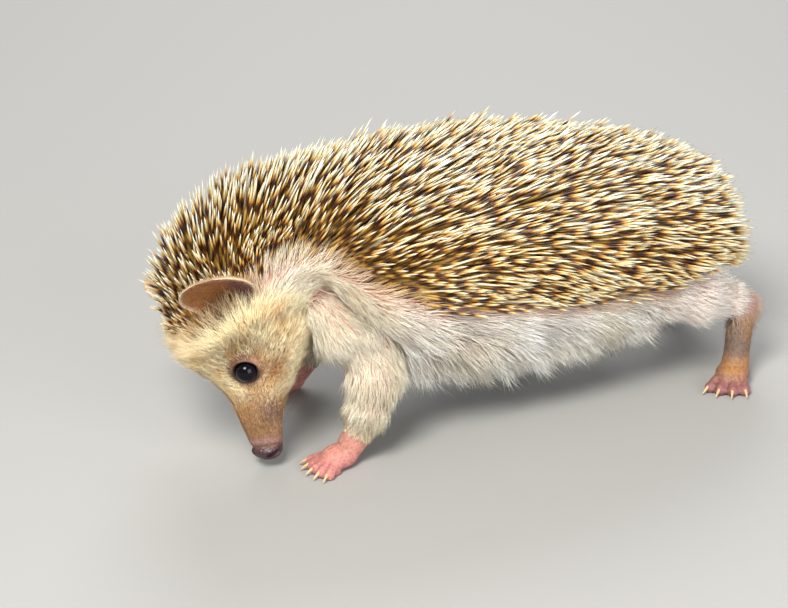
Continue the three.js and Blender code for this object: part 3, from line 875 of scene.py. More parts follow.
def skin_tone():
    mottle = patches(skin_places, 9, 1)
    x, z = skin_places[:, 0], skin_places[:, 2]
    muzzle = spot(17, 4.5, 108, 34) * mix(0.5, 1.3, patches(skin_places, 5, 8))
    under_lip = ease(np.abs(turn_at), mouth_line(back_at), mouth_line(back_at) + 0.3)
    in_spines = ease(below_edge, 0, -4) * behind(40, 43)
    stain = (hind_foot | hind_leg) * np.maximum(bump(z, 18, 4) * ease(x, 80, 85), bump(z, 7, 2.4) * 0.7)
    tone = painted(PINK_SKIN, [
        # Painted shade: the skin turns a dull brownish pink down the flank towards the hem, under the belly.
        ("belly", "a8836f", belly * hem),
        ("face", "b68a68", face),
        ("temple", "8c6240", face * behind(30, 36) * bump(degrees, 75, 22) * 0.7),
        ("bridge", "7d5a36", snout),
        ("muzzle", "664a4f", face * np.clip(muzzle, 0, 1)),
        ("behind_nose", "9a7574", is_body * bump(back_at, 6.6, 1.4) * 0.6),
        # Painted shade under the jaw: the skin below the mouth line is dark brown.
        ("chin", "6b4a3a", face * under_lip * 0.8),
        ("nose", "45292f", is_body * ahead(4.0, 6.2)),
        ("eye_ring", "74503f", (1 - ease(eye_away, 4.4, 7.0)) * mix(0.35, 0.9, patches(skin_places, 4, 9))),
        ("lid", "2e1d1c", 1 - ease(eye_away, 3.8, 4.9)),
        # painted shadow under the spines' edge
        ("shadow_under_spines", "9c5526", np.clip(shadow_under_spines * 1.1, 0, 1)),
        ("trunk", "5c4330", is_body * in_spines),
        ("shank", "b98a7c", is_leg * behind(0.6, 0.85)),
        ("foot", "be7f70", is_foot * 1.0),
        ("hind_foot", "805a4b", hind_foot * 0.9),
        ("hind_shank", "5f5043", hind_foot * ease(z, 6, 11) * 0.85),
        ("fore_sole", "bd7472", fore_foot * (1 - ease(z, 3, 6)) * 0.6),
        ("hind_toes", "8d565b", hind_foot * (1 - ease(z, 2.5, 5)) * 0.7),
        ("heel", "b0848a", hind_foot * ease(z, 20, 25) * 0.8),
        ("stain", "b07a30", np.clip(stain * mix(0.4, 1.1, mottle), 0, 1)),
        ("ear", "b98f6c", is_ear * 1.0),
        ("ear_inside", "96602f", ear_inside * 0.95),
        ("ear_mottle", "6e4326", ear_inside * ease(patches(skin_places, 3.5, 12), 0.35, 0.9) * 0.6),
        ("ear_canal", "6a3c48", canal_weight()),
        ("ear_edge", "dcc3a3", ear_edge * 0.9),
    ])
    return tone * mix(0.93, 1.05, mottle)[:, None]


def hair_tip_tone():
    golden = ease(patches(skin_places, 5, 3), 0.4, 1)
    return painted(WHITE_FUR, [
        ("cream", "f2e6cb", patches(skin_places, 22, 2) * 0.6),
        ("face", "faecc6", np.clip(throat * 0.4 + face, 0, 1)),
        ("gold", "d8a860", np.clip(throat * 0.6 + face, 0, 1) * golden * 0.6),
        ("gold", "d8a860", face * (1 - ease(degrees, 25, 60)) * 0.15),
        ("cheek_patch", "a8723a", face * spot(29, 4.5, 98, 16) * 0.8),
        ("snout", "a8783e", face * ahead(14, 25) * 0.8),
        ("crown", "b47a38", np.maximum(by_crown * 0.85, crown_front * spiny)),
        # painted shadow under the spines' edge
        ("shadow_under_spines", "b8702e", shadow_under_spines * 0.85),
        ("foreleg", "fbf0d0", fore_leg * mix(0.9, 0.5, upper_leg)),
        ("hindleg", "f8f0e6", (is_leg & ~fore_leg) * 0.8),
        ("foot", "c9a184", is_foot * 0.8),
        ("hind_foot", "8e7660", hind_foot * (1 - hock) * 0.8),
        ("ear", "d0b088", is_ear * 0.9),
        ("ear_inside", "a87848", ear_inside * (1 - ear_rim) * 0.8),
    ])


def hair_root_tone(tip, skin):
    """A darker tip colour, as painted shade down among the hairs, deeper at the hem and half as deep on the
    forelegs, mixed with the skin that shows between the hairs.
    """
    root = tip * mix(ROOT_SHADE, HEM_ROOT_SHADE, (belly * hem)[:, None])
    root = root + (tip - root) * (fore_leg * 0.5)[:, None]
    skin_share = mix(0.22, 0.4, belly * hem) * np.where(fore_leg, 0.6, 1)
    return root + (skin - root) * skin_share[:, None]


skin_colour = skin_tone()
tip_colour = hair_tip_tone()
root_colour = hair_root_tone(tip_colour, skin_colour)
fields = np.column_stack([
    lie_at, hair_density(), hair_length(), hair_lift(), tip_colour, root_colour, spiny, skin_colour,
])
# The fields are eased into each other, save round the eyes.
fields = smoothed(fields, skin_edges, np.where(eye_away < EYE_KEPT, 0.0, FIELD_EASING[0]), FIELD_EASING[1])
lie_at = unit(fields[:, :3])
density, length, lift = fields[:, 3], fields[:, 4], fields[:, 5]
tip_colour, root_colour, spiny, skin_colour = fields[:, 6:9], fields[:, 9:12], fields[:, 12], fields[:, 13:]


def unwrapped():
    """The body fills most of the square, and each other part has a strip of its own."""
    body_u = 0.02 + 0.96 * back_at / BODY_LENGTH
    body_v = 0.02 + 0.7 * (turn_at + math.pi) / (2 * math.pi)
    others = back_at[~is_body]
    other_u = 0.02 + 0.9 * (back_at - others.min()) / np.ptp(others)
    other_v = 0.76 + 0.02 * part + 0.015 * np.clip(turn_at, 0, 1)
    return np.stack([np.where(is_body, body_u, other_u), np.where(is_body, body_v, other_v)], -1)


unwrap = unwrapped()


# ---------- objects and materials
def add_mesh(name, places, faces, colours=None, values=None, uv=None):
    """A smooth mesh object from places in mm, with a colour, a value and a UV place for each vertex."""
    mesh = bpy.data.meshes.new(name)
    mesh.vertices.add(len(places))
    mesh.vertices.foreach_set("co", ((places + SHIFT) * MM).ravel())
    mesh.loops.add(faces.size)
    mesh.loops.foreach_set("vertex_index", faces.ravel().astype(np.int32))
    mesh.polygons.add(len(faces))
    mesh.polygons.foreach_set("loop_start", np.arange(0, faces.size, 3, dtype=np.int32))
    mesh.polygons.foreach_set("use_smooth", np.full(len(faces), True))
    mesh.update(calc_edges=True)
    if colours is not None:
        attribute = mesh.attributes.new("tone", "FLOAT_COLOR", "POINT")
        attribute.data.foreach_set("color", np.column_stack([colours, np.ones(len(colours))]).ravel())
    if values is not None:
        attribute = mesh.attributes.new("along", "FLOAT", "POINT")
        attribute.data.foreach_set("value", values)
    if uv is not None:
        layer = mesh.uv_layers.new(name="OFBake")
        layer.data.foreach_set("uv", uv[faces.ravel()].ravel())
    return placed(name, mesh)


def dressed(obj, look, slot):
    """A finished piece, which rides on the part's only body."""
    obj.data.materials.append(look)
    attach(obj, "root")


def with_inputs(node, values):
    for key, value in values.items():
        node.inputs[key.replace("_", " ")].default_value = value
    return node


def principled(name, **values):
    material = bpy.data.materials.new(name)
    material.use_nodes = True
    shader = with_inputs(material.node_tree.nodes["Principled BSDF"], values)
    return material, material.node_tree, shader


def node_with(tree, kind, **values):
    return with_inputs(tree.nodes.new(kind), values)


def attribute_node(tree, name):
    node = tree.nodes.new("ShaderNodeAttribute")
    node.attribute_name = name
    return node


def multiplied(tree, colour, other):
    node = tree.nodes.new("ShaderNodeMix")
    node.data_type = "RGBA"
    node.blend_type = "MULTIPLY"
    node.inputs[0].default_value = 1.0
    tree.links.new(colour, node.inputs[6])
    tree.links.new(other, node.inputs[7])
    return node.outputs[2]


def skin_material():
    """Bare skin: the colour that it carries, with fine grain and speckles; the speckles also darken it where
    the grain's bump is low, as painted shade in the hollows.
    """
    material, tree, shader = principled("skin", Roughness=0.5)
    link = tree.links.new
    place = tree.nodes.new("ShaderNodeTexCoord")
    grain = node_with(tree, "ShaderNodeTexVoronoi", Scale=2200)
    speckle_and_hollow_shade = node_with(tree, "ShaderNodeTexNoise", Scale=1100, Detail=3)
    link(place.outputs["Object"], grain.inputs["Vector"])
    link(place.outputs["Object"], speckle_and_hollow_shade.inputs["Vector"])
    both = tree.nodes.new("ShaderNodeMath")
    link(grain.outputs["Distance"], both.inputs[0])
    link(speckle_and_hollow_shade.outputs["Fac"], both.inputs[1])
    relief = node_with(tree, "ShaderNodeBump", Strength=0.5, Distance=0.0003)
    link(both.outputs[0], relief.inputs["Height"])
    link(relief.outputs["Normal"], shader.inputs["Normal"])
    # The speckle noise darkens the colour where it lowers the bump: real speckles and painted shade in the
    # grain's hollows.
    shades = node_with(tree, "ShaderNodeMapRange", From_Min=0.35, From_Max=0.65, To_Min=0.68, To_Max=1.12)
    link(speckle_and_hollow_shade.outputs["Fac"], shades.inputs["Value"])
    tone = multiplied(tree, attribute_node(tree, "tone").outputs["Color"], shades.outputs["Result"])
    link(tone, shader.inputs["Base Color"])
    link(attribute_node(tree, "along").outputs["Fac"], shader.inputs["Roughness"])
    return material


def fur_material():
    material, tree, shader = principled("fur", Roughness=0.62, Specular_IOR_Level=0.35)
    tree.links.new(attribute_node(tree, "tone").outputs["Color"], shader.inputs["Base Color"])
    return material


# A spine's colours from its root to its tip.
BANDS = [
    (0, "8a6234"), (0.32, "bc9e5a"), (0.46, "c4a25a"), (0.52, "91602a"), (0.565, "4a2b14"), (0.66, "38221a"),
    (0.71, "7c4a1e"), (0.76, "cd9f4e"), (0.83, "dfd2a4"), (0.92, "ebebdc"), (1, "f2f6f0"),
]


def spine_material():
    """Bands along each spine, tinted by the colour that it carries."""
    material, tree, shader = principled("spines", Roughness=0.38)
    ramp = tree.nodes.new("ShaderNodeValToRGB")
    while len(ramp.color_ramp.elements) < len(BANDS):
        ramp.color_ramp.elements.new(0.5)
    for element, (position, code) in zip(ramp.color_ramp.elements, BANDS):
        element.position = position
        element.color = (*rgb(code), 1)
    tree.links.new(attribute_node(tree, "along").outputs["Fac"], ramp.inputs["Fac"])
    tone = multiplied(tree, ramp.outputs["Color"], attribute_node(tree, "tone").outputs["Color"])
    tree.links.new(tone, shader.inputs["Base Color"])
    return material


# ---------- growing a coat from the skin
ROOT_SUNK = 0.25  # how deep hairs begin under the skin
FLOOR_CLEARANCE = 0.25
UV_PATCH = 0.003
corners = skin_places[skin_faces]
face_sides = corners[:, 1] - corners[:, 0], corners[:, 2] - corners[:, 0]
face_areas = np.linalg.norm(np.cross(*face_sides), axis=1) / 2


class Roots:
    """Places on the skin where hairs grow: the face of each and its shares of that face's corners."""

    def __init__(self, face, share):
        self.face, self.share, self.count = face, share, len(face)
        self.place = self.read(skin_places)
        self.normal = unit(self.read(skin_normals))
        self.lie = self.read(lie_at)
        self.uv = unwrap[skin_faces[face, 0]]

    def read(self, values):
        """What a field of the skin says at each root."""
        values = values[skin_faces[self.face]]
        share = self.share if values.ndim == 2 else self.share[..., None]
        return np.sum(values * share, axis=1)

    def only(self, which):
        return Roots(self.face[which], self.share[which])


def scatter(weight, rng):
    """Roots on the skin, as many per square mm as the vertices' weight."""
    expected = face_areas * weight[skin_faces].mean(axis=1)
    total = expected.sum()
    count = int(total)
    at = (np.arange(count) + rng.random(count)) / count * total
    face = np.clip(np.searchsorted(np.cumsum(expected), at), 0, len(skin_faces) - 1)
    u, v = rng.random(count), rng.random(count)
    over = u + v > 1
    u, v = np.where(over, 1 - u, u), np.where(over, 1 - v, v)
    return Roots(face, np.stack([1 - u - v, u, v], -1))


def spaced(places, distance, rng):
    """The indices of places kept so that none is nearer to another than its distance."""
    places = places.tolist()
    cell = distance.max()
    around = list(itertools.product((-1, 0, 1), repeat=3))
    grid = {}
    kept = []
    for i in rng.permutation(len(places)).tolist():
        x, y, z = places[i]
        a, b, c = int(x // cell), int(y // cell), int(z // cell)
        limit = distance[i] ** 2
        near = (q for da, db, dc in around for q in grid.get((a + da, b + db, c + dc), ()))
        if any((x - q[0]) ** 2 + (y - q[1]) ** 2 + (z - q[2]) ** 2 < limit for q in near):
            continue
        grid.setdefault((a, b, c), []).append(places[i])
        kept.append(i)
    return np.array(sorted(kept))


def grow(roots, lie, length, lift_from, lift_to, rows):
    """Paths from the roots: each leaves the skin at one angle in degrees and bends to another."""
    normal = roots.normal
    lie = unit(lie - dot(lie, normal) * normal * (dot(lie, normal) < 0))
    path = [roots.place - normal * ROOT_SUNK]
    for t in np.linspace(0, 1, rows - 1):
        angle = mix(lift_from, lift_to, t)[:, None] * RAD
        way = unit(lie * np.cos(angle) + normal * np.sin(angle))
        path.append(path[-1] + way * (length / (rows - 1))[:, None])
    return np.stack(path, axis=1)


def spike_faces(rows, sides):
    """The triangles of a prism with a pointed end and a flat start."""
    ids = np.arange((rows - 1) * sides).reshape(rows - 1, sides)
    after = np.roll(ids, -1, axis=1)
    tip = np.full(sides, (rows - 1) * sides)
    return np.concatenate([
        np.stack([ids[:-1], after[:-1], after[1:]], -1).reshape(-1, 3),
        np.stack([ids[:-1], after[1:], ids[1:]], -1).reshape(-1, 3),
        np.stack([ids[-1], after[-1], tip], -1),
        [(0, k, k - 1) for k in range(sides - 1, 1, -1)],
    ])


def spikes(path, across, radius, sides, uv_root):
    """Closed, pointed prisms along the paths: places, triangles, shares along each, and UVs."""
    count, rows, _ = path.shape
    way = unit(np.gradient(path, axis=1))
    across = unit(levelled(across[:, None], way))
    third = np.cross(way, across)
    angle = np.arange(sides) / sides * 2 * math.pi
    cos, sin = np.cos(angle)[None, None, :, None], np.sin(angle)[None, None, :, None]
    ring = across[:, :, None] * cos + third[:, :, None] * sin
    sleeves = path[:, :-1, None] + ring[:, :-1] * radius[:, :-1, None, None]
    places = np.concatenate([sleeves.reshape(count, -1, 3), path[:, -1:]], axis=1)
    first = (np.arange(count) * places.shape[1])[:, None, None]
    faces = (spike_faces(rows, sides)[None] + first).reshape(-1, 3)
    t = np.concatenate([np.repeat(np.linspace(0, 1, rows)[:-1], sides), [1.0]])
    u = np.concatenate([np.tile((1 + np.cos(angle)) / 2, rows - 1), [0.5]])
    uv = (uv_root[:, None] + np.stack([u, t], -1)[None] * UV_PATCH).reshape(-1, 2)
    return places.reshape(-1, 3), faces, np.tile(t, (count, 1)), uv


def wandered(vectors, amount, rng):
    return unit(vectors + rng.normal(size=vectors.shape) * np.reshape(amount, (-1, 1)))


# ---------- spines
QUILL_ROWS = np.array([0, 0.07, 0.3, 0.6, 0.86, 1.0])  # shares along a spine
QUILL_WIDTHS = np.array([0.45, 0.85, 1.0, 0.96, 0.62, 0.0])  # how wide it is there
QUILL_RADIUS = 0.47
QUILL_SIDES = 5
QUILL_SEEDS = 2.7  # tried to the square millimetre, before they are spaced
# Places back from the nose tip, with the distance between spines there, and with their length.
QUILL_SPACING = ([40, 46, 60, 219], [0.95, 1.12, 1.22, 1.28])
QUILL_LENGTH = ([40, 43, 47, 54, 80, 170, 219], [6.5, 9, 13, 16.5, 18.5, 18.5, 16])
EDGE_SHORTER = 0.82  # spines near their edge are shorter and lie flatter
EDGE_FLATTER = 0.6
PROUD_SHARE, PROUD_LIFT = 0.10, (1.1, 1.4)  # some spines stand up above the others
LOWEST_LIFT = 6
TIP_LOWER = 0.92  # a spine's tip leans this much of its root's angle
# How much spines differ from each other: shares, and for the turn degrees.
QUILL_SPREAD = SimpleNamespace(length=0.08, lift=0.13, turn=5, width=0.1, white=0.25, tint=0.1, bands=0.05)
MEAN_LIFT, MEAN_TINT, TINT_RANGE = 0.94, 0.87, (0.62, 1.05)
WHORLS = ((26, 5, 26), (9, 6, 22))  # size in mm, seed and degrees of the turns that the spines' lie takes
GOLD_TINT, PALE_TINT = np.array([1.0, 0.86, 0.62]), np.array([1.0, 0.98, 0.94])
NAPE_SHADE = 0.84
PALE_SHARE = 0.07  # some spines have no dark band
HEAD_SPINES_END = 72


def spine_roots(rng):
    """Evenly spaced roots, with how far back each lies and how far inside the spines' edge."""
    roots = scatter(spiny * QUILL_SEEDS, rng)
    inside = -roots.read(below_edge)
    distance = np.interp(roots.read(back_at), *QUILL_SPACING) * mix(0.9, 1, ease(inside, 0, 20))
    roots = roots.only(spaced(roots.place, distance, rng))
    return roots, roots.read(back_at), -roots.read(below_edge)


def spine_lengths(back, near_edge, rng):
    mean = np.interp(back, *QUILL_LENGTH) * mix(1, EDGE_SHORTER, near_edge)
    return mean * rng.normal(1, QUILL_SPREAD.length, len(back))


def spine_lifts(roots, back, near_edge, length, rng):
    """Degrees from the skin: the tips end where the solids do, and a few stand proud."""
    reach = coat_depth(back, roots.read(np.abs(turn_at))) * mix(1, EDGE_FLATTER, near_edge)
    angle = np.arcsin(np.clip(reach / length, 0.1, 0.9)) / RAD
    angle = angle * rng.normal(MEAN_LIFT, QUILL_SPREAD.lift, roots.count)
    proud = rng.random(roots.count) < PROUD_SHARE
    return np.maximum(angle * np.where(proud, rng.uniform(*PROUD_LIFT, roots.count), 1), LOWEST_LIFT)


def spine_lies(roots, rng):
    """The way that each spine leans, and the way across it. The lean turns in whorls."""
    lie = unit(roots.lie)
    turn = 0
    for size, seed, amount in WHORLS:
        turn = turn + (patches(roots.place, size, seed) - 0.5) * amount
    turn = (turn + rng.normal(0, QUILL_SPREAD.turn, roots.count)) * RAD
    across = unit(np.cross(roots.normal, lie))
    return unit(lie * np.cos(turn)[:, None] + across * np.sin(turn)[:, None]), across


def moved_rows(path):
    """The same paths with their rows at QUILL_ROWS."""
    last = len(QUILL_ROWS) - 1
    rows = []
    for t in QUILL_ROWS:
        low = min(int(t * last), last - 1)
        rows.append(mix(path[:, low], path[:, low + 1], t * last - low))
    return np.stack(rows, axis=1)


def spine_tints(back, inside, rng):
    """Golden near their edge, paler over the back and a little darker on the nape."""
    whiteness = np.clip(ease(inside, 15, 75) + rng.normal(0, QUILL_SPREAD.white, len(back)), 0, 1)
    tint = mix(GOLD_TINT, PALE_TINT, whiteness[:, None])
    tint = tint * np.clip(rng.normal(MEAN_TINT, QUILL_SPREAD.tint, len(back)), *TINT_RANGE)[:, None]
    return tint * mix(NAPE_SHADE, 1, ease(back, 60, 110))[:, None]


def spine_bands(shift, pale):
    """Where each vertex lies on the colour bands, which are shifted a little on every spine."""
    rows = np.concatenate([np.repeat(QUILL_ROWS[:-1], QUILL_SIDES), [1.0]])
    along = np.clip(rows[None] + shift[:, None] * np.minimum(rows * 3, 1)[None], 0, 1)
    return np.where(pale[:, None], mix(0.8, 1, rows)[None], along).ravel()


def add_spines():
    rng = np.random.default_rng(7)
    roots, back, inside = spine_roots(rng)
    near_edge = 1 - ease(inside, 0, 26)
    length = spine_lengths(back, near_edge, rng)
    angle = spine_lifts(roots, back, near_edge, length, rng)
    lie, across = spine_lies(roots, rng)
    path = moved_rows(grow(roots, lie, length, angle, angle * TIP_LOWER, len(QUILL_ROWS)))
    thick = QUILL_RADIUS * rng.normal(1, QUILL_SPREAD.width, roots.count) * mix(0.75, 1, ease(length, 7, 15))
    radius = thick[:, None] * QUILL_WIDTHS[None]
    tint = spine_tints(back, inside, rng)
    shift = rng.normal(0, QUILL_SPREAD.bands, roots.count)
    pale = rng.random(roots.count) < PALE_SHARE
    look = spine_material()
    on_body, left = back >= HEAD_SPINES_END, roots.place[:, 1] < 0
    pieces = {"spines_head": ~on_body, "spines_left": on_body & left, "spines_right": on_body & ~left}
    for name, own in pieces.items():
        places, faces, t, uv = spikes(path[own], across[own], radius[own], QUILL_SIDES, roots.uv[own])
        colours = np.repeat(tint[own], t.shape[1], axis=0)
        bands = spine_bands(shift[own], pale[own])
        dressed(add_mesh(name, places, faces, colours, bands, uv), look, "spines")


add_spines()

# ---------- fur
CLUMP_PULL = (0.05, 0.7)  # how strongly hairs are drawn to their clump's middle
LOCK_PULL = (0.4, 0.97)  # and to their lock's, at the hem
LONGEST_PULL = 0.45  # as a share of the hair's length
SHORTEST_HAIR = 0.4
ROOT_LIFT, TIP_LIFT = (1.25, 0.25), (0.55, 0.3)  # mean and spread, as shares of the lift
SHADE_RANGE = (0.55, 1.2)
# How much hairs differ from each other, and how much the shades of clumps and locks do, as shares.
HAIR_SPREAD = SimpleNamespace(length=0.16, width=0.15, shade=0.15, curl=0.09, clump=0.07, lock=0.16)
# Rows along each strand, its half width in mm, the share of hairs that are clumps' middles, how unevenly they
# lie, and the share that are the middles of the hem's locks.
FACE_HAIR = {"rows": 3, "width": 0.078, "clump": 0.07, "mess": 0.2}
RIGHT_FACE_HAIR = {"rows": 3, "width": 0.082, "clump": 0.07, "mess": 0.2}
THROAT_HAIR = {"rows": 4, "width": 0.095, "clump": 0.06, "mess": 0.26}
FLANK_HAIR = {"rows": 4, "width": 0.14, "clump": 0.06, "mess": 0.14, "locks": 0.03}
RUMP_HAIR = {"rows": 4, "width": 0.11, "clump": 0.05, "mess": 0.14}
LEG_HAIR = {"rows": 3, "width": 0.09, "clump": 0.06, "mess": 0.2}
SHORT_HAIR = {"rows": 3, "width": 0.05, "clump": 0, "mess": 0.2}
fur_look = fur_material()


def drawn_together(path, roots, long, share, pull_range, where, rng):
    """Hairs bent towards tufts' middles, which are a share of the hairs, and the tuft of each."""
    centres = rng.choice(roots.count, max(2, int(roots.count * share)), replace=False)
    tuft, _ = nearest_of(roots.place[centres], roots.place)
    strength = rng.uniform(*pull_range, roots.count) * where
    pull = (path[centres[tuft], -1] - path[:, -1]) * strength[:, None]
    farthest = LONGEST_PULL * long / np.maximum(np.linalg.norm(pull, axis=1), 1e-6)
    pull = pull * np.minimum(1, farthest)[:, None]
    t = np.linspace(0, 1, path.shape[1])
    return path + pull[:, None] * (t**1.5)[None, :, None], tuft


def fur(name, slot, weight, seed, rows, width, clump, mess, locks=0):
    """Strands over the skin that weight picks out, drawn together into tufts, and into locks at the hem."""
    rng = np.random.default_rng(seed)
    roots = scatter(density * weight, rng)
    count = roots.count
    lie = wandered(roots.lie, mess, rng)
    long = np.maximum(roots.read(length) * rng.normal(1, HAIR_SPREAD.length, count), SHORTEST_HAIR)
    start, end = (roots.read(lift) * rng.normal(*shares, count) for shares in (ROOT_LIFT, TIP_LIFT))
    path = grow(roots, lie, long, start, end, rows)
    shade = np.clip(rng.normal(1, HAIR_SPREAD.shade, count), *SHADE_RANGE)
    if clump:
        path, tuft = drawn_together(path, roots, long, clump, CLUMP_PULL, 1, rng)
        shade = shade * rng.normal(1, HAIR_SPREAD.clump, tuft.max() + 1)[tuft]
    if locks:
        path, tuft = drawn_together(path, roots, long, locks, LOCK_PULL, roots.read(hem), rng)
        shade = shade * rng.normal(1, HAIR_SPREAD.lock, tuft.max() + 1)[tuft]
    t = np.linspace(0, 1, rows)
    across = np.cross(roots.normal, lie)
    curl = across * (long * rng.normal(0, HAIR_SPREAD.curl, count))[:, None]
    path = path + curl[:, None] * (t**2)[None, :, None]
    path[..., 2] = np.maximum(path[..., 2], FLOOR_CLEARANCE)
    radius = (width * rng.normal(1, HAIR_SPREAD.width, count))[:, None] * ((1 - t) ** 0.6)[None]
    places, faces, t, uv = spikes(path, across, radius, 3, roots.uv)
    tip, base = roots.read(tip_colour) * shade[:, None], roots.read(root_colour)
    # Each strand runs from its root colour, with its painted shade, to its tip colour.
    colours = mix(base[:, None], tip[:, None], np.minimum(1, t * 1.5)[..., None]).reshape(-1, 3)
    dressed(add_mesh(name, places, faces, np.clip(colours, 0, 1), None, uv), fur_look, slot)


def between(start, end):
    """The body's skin from one distance back from the nose tip to another."""
    return is_body * (back_at >= start) * (back_at < end)


CHEEK_START, FACE_FUR_END, THROAT_END, FLANK_END = 34, 46, 92, 205
left_half = ease(-skin_places[:, 1], -0.2, 0.2)
right_half = 1 - left_half
flank = between(THROAT_END, FLANK_END)
fur("fur_muzzle_left", "face_fur", left_half * between(0, CHEEK_START), 11, **FACE_HAIR)
fur("fur_cheek_left", "face_fur", left_half * between(CHEEK_START, FACE_FUR_END), 10, **FACE_HAIR)
fur("fur_face_right", "face_fur", right_half * between(0, FACE_FUR_END) * 0.9, 12, **RIGHT_FACE_HAIR)
fur("fur_throat", "belly_fur", between(FACE_FUR_END, THROAT_END), 13, **THROAT_HAIR)
fur("fur_flank_left", "belly_fur", left_half * flank, 14, **FLANK_HAIR)
fur("fur_flank_right", "belly_fur", right_half * flank, 15, **FLANK_HAIR)
fur("fur_rump", "belly_fur", between(FLANK_END, BODY_LENGTH) + is_tail, 16, **RUMP_HAIR)
fur("fur_forelegs", "belly_fur", fore_leg * 1.0, 17, **LEG_HAIR)
fur("fur_hindlegs", "belly_fur", hind_leg * 1.0, 19, **LEG_HAIR)
fur("fur_ears_feet", "ear_skin", (is_ear | is_foot) * 1.0, 18, **SHORT_HAIR)

# ---------- whiskers
WHISKER_PAD = (13, 5, 105, 26)
WHISKER_DENSITY = 0.28
WHISKER_MESS = 0.25
WHISKER_CLEARANCE = 0.3
WHISKER_ROWS = 8
WHISKER_RADIUS = 0.065
WHISKER_COLOUR = "6a4c38"
WHISKER_LENGTH = (9, 19)
WHISKER_LIFTS = ((35, 60), (15, 30))  # degrees from the skin at the root, then at the tip


def add_whiskers():
    rng = np.random.default_rng(21)
    roots = scatter(is_body * spot(*WHISKER_PAD) * WHISKER_DENSITY, rng)
    lie = wandered(roots.lie, WHISKER_MESS, rng)
    length = rng.uniform(*WHISKER_LENGTH, roots.count)
    start, end = (rng.uniform(*lifts, roots.count) for lifts in WHISKER_LIFTS)
    path = grow(roots, lie, length, start, end, WHISKER_ROWS)
    path[..., 2] = np.maximum(path[..., 2], WHISKER_CLEARANCE)
    radius = WHISKER_RADIUS * (1 - np.linspace(0, 1, WHISKER_ROWS)) ** 0.7 * np.ones((roots.count, 1))
    places, faces, _, uv = spikes(path, np.cross(roots.normal, lie), radius, 4, roots.uv)
    colours = np.tile(rgb(WHISKER_COLOUR), (len(places), 1))
    dressed(add_mesh("whiskers", places, faces, colours, None, uv), fur_look, "face_fur")


add_whiskers()


# ---------- the skin, claws and eyes
SKIN_ROUGHNESS, WET_NOSE_ROUGHNESS = 0.55, 0.24
CLAW_COLOUR = (*rgb("c9a67c"), 1)
EYE_COLOUR = (0.002, 0.002, 0.004, 1)


def add_skin():
    wet_nose = is_body * ahead(4.0, 5.5)
    roughness = mix(SKIN_ROUGHNESS, WET_NOSE_ROUGHNESS, wet_nose)
    skin = add_mesh("skin", skin_places, skin_faces, np.clip(skin_colour, 0, 1), roughness)
    dressed(skin, skin_material(), "face_fur")
    flesh = [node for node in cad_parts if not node.startswith("eye")]
    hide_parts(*flesh)


def add_claws():
    look, _, _ = principled("claws", Roughness=0.35, Base_Color=CLAW_COLOUR)
    shapes = []
    for shape, (_, side) in itertools.product((FOREFOOT, HINDFOOT), SIDES):
        shapes.extend(claw(tip, way) for _, tip, way in toes_of(shape, side))
    dressed(add_mesh("claws", *together(shapes)), look, "bare_skin")


def add_eyes():
    look, _, _ = principled("eyes", Roughness=0.05, Base_Color=EYE_COLOUR, IOR=1.28)
    for label, side in SIDES:
        places, faces = ball((0, 0, 0), (EYEBALL_RADIUS,) * 3, 0, 30, 48)
        eyeball = add_mesh("eyeball_" + label, places + eye_centre(side), faces)
        dressed(eyeball, look, "eye")
        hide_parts("eye_" + label)


add_skin()
add_claws()
add_eyes()

# ---------- camera, light and floor, in metres
scene = bpy.context.scene
CAMERA_RIGHT = Vector((0.956, -0.292, 0)).normalized()  # the picture's right
CAMERA_UP = Vector((0.123, 0.404, 0.906))  # roughly the picture's up
CAMERA_TARGET = Vector((0.001, 0.0, 0.047))
TARGET_SHIFT = (-0.019, -0.012)  # right and up, so that the animal stands where it does in the photograph
CAMERA_DISTANCE = 0.85
CAMERA_ROLL = -4 * RAD
VIEW_ANGLE = 16.5 * RAD
SENSOR_WIDTH = 36
FLOOR_HALF = 3
FLOOR_COLOUR = (0.34, 0.335, 0.32, 1)
WORLD_COLOUR, WORLD_STRENGTH = (0.8, 0.82, 0.85, 1), 0.5
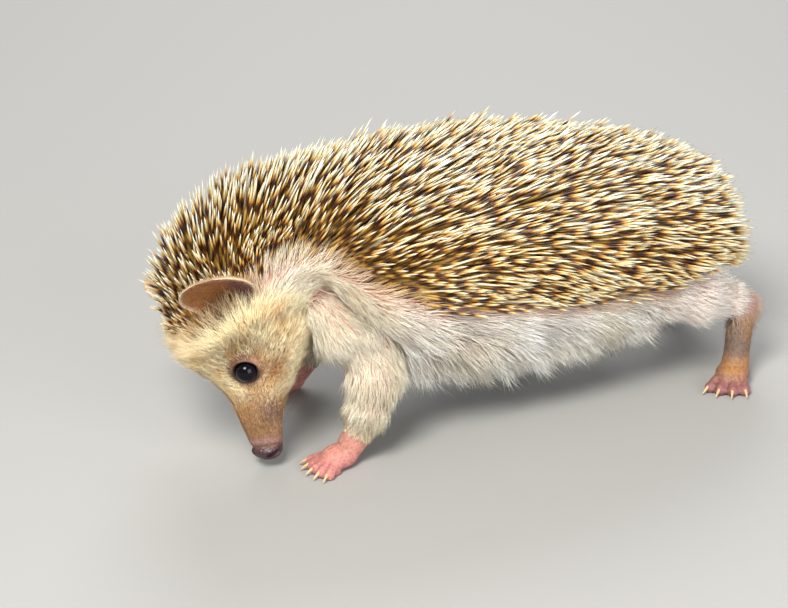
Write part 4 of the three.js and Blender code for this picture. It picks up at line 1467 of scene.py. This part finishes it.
# Name, place, size, energy and colour. Each light looks at the animal.
LIGHTS = [
    ("key", (-0.45, -0.6, 0.95), 0.45, 20, (1, 0.98, 0.94)),
    ("fill", (0.35, -1.1, 0.35), 0.8, 11, (0.95, 0.97, 1)),
    ("rim", (0.3, 0.9, 0.8), 0.6, 8, (1, 1, 1)),
]
LIGHT_TARGET = Vector((0, 0, 0.04))


def add_camera():
    camera = placed("camera", bpy.data.cameras.new("camera"))
    scene.camera = camera
    toward = CAMERA_RIGHT.cross(CAMERA_UP).normalized()
    up = toward.cross(CAMERA_RIGHT)
    basis = Matrix((CAMERA_RIGHT, up, toward)).transposed().to_4x4()
    target = CAMERA_TARGET + CAMERA_RIGHT * TARGET_SHIFT[0] + up * TARGET_SHIFT[1]
    place = Matrix.Translation(target + toward * CAMERA_DISTANCE)
    camera.matrix_world = place @ basis @ Matrix.Rotation(CAMERA_ROLL, 4, "Z")
    camera.data.sensor_width = SENSOR_WIDTH
    camera.data.lens = SENSOR_WIDTH / (2 * math.tan(VIEW_ANGLE / 2))


def add_world():
    world = bpy.data.worlds.new("world")
    scene.world = world
    world.use_nodes = True
    background = world.node_tree.nodes["Background"]
    background.inputs["Color"].default_value = WORLD_COLOUR
    background.inputs["Strength"].default_value = WORLD_STRENGTH


def add_floor():
    mesh = bpy.data.meshes.new("floor")
    signs = ((-1, -1), (1, -1), (1, 1), (-1, 1))
    mesh.from_pydata([(x * FLOOR_HALF, y * FLOOR_HALF, 0) for x, y in signs], [], [(0, 1, 2, 3)])
    floor = placed("floor", mesh)
    look, _, _ = principled("floor", Roughness=0.7, Base_Color=FLOOR_COLOUR)
    floor.data.materials.append(look)
    floor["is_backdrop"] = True


def add_light(name, place, size, energy, colour):
    light = placed(name, bpy.data.lights.new(name, "AREA"))
    light.data.energy = energy
    light.data.size = size
    light.data.color = colour
    light.location = place
    light.rotation_euler = (Vector(place) - LIGHT_TARGET).to_track_quat("Z", "Y").to_euler()


add_camera()
add_world()
add_floor()
for light in LIGHTS:
    add_light(*light)
scene.view_settings.view_transform = "Standard"

final_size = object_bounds()
sizes = {"frame": frame_size, "model": final_size}
{key: [[float(x) for x in corner] for corner in value] for key, value in sizes.items()}
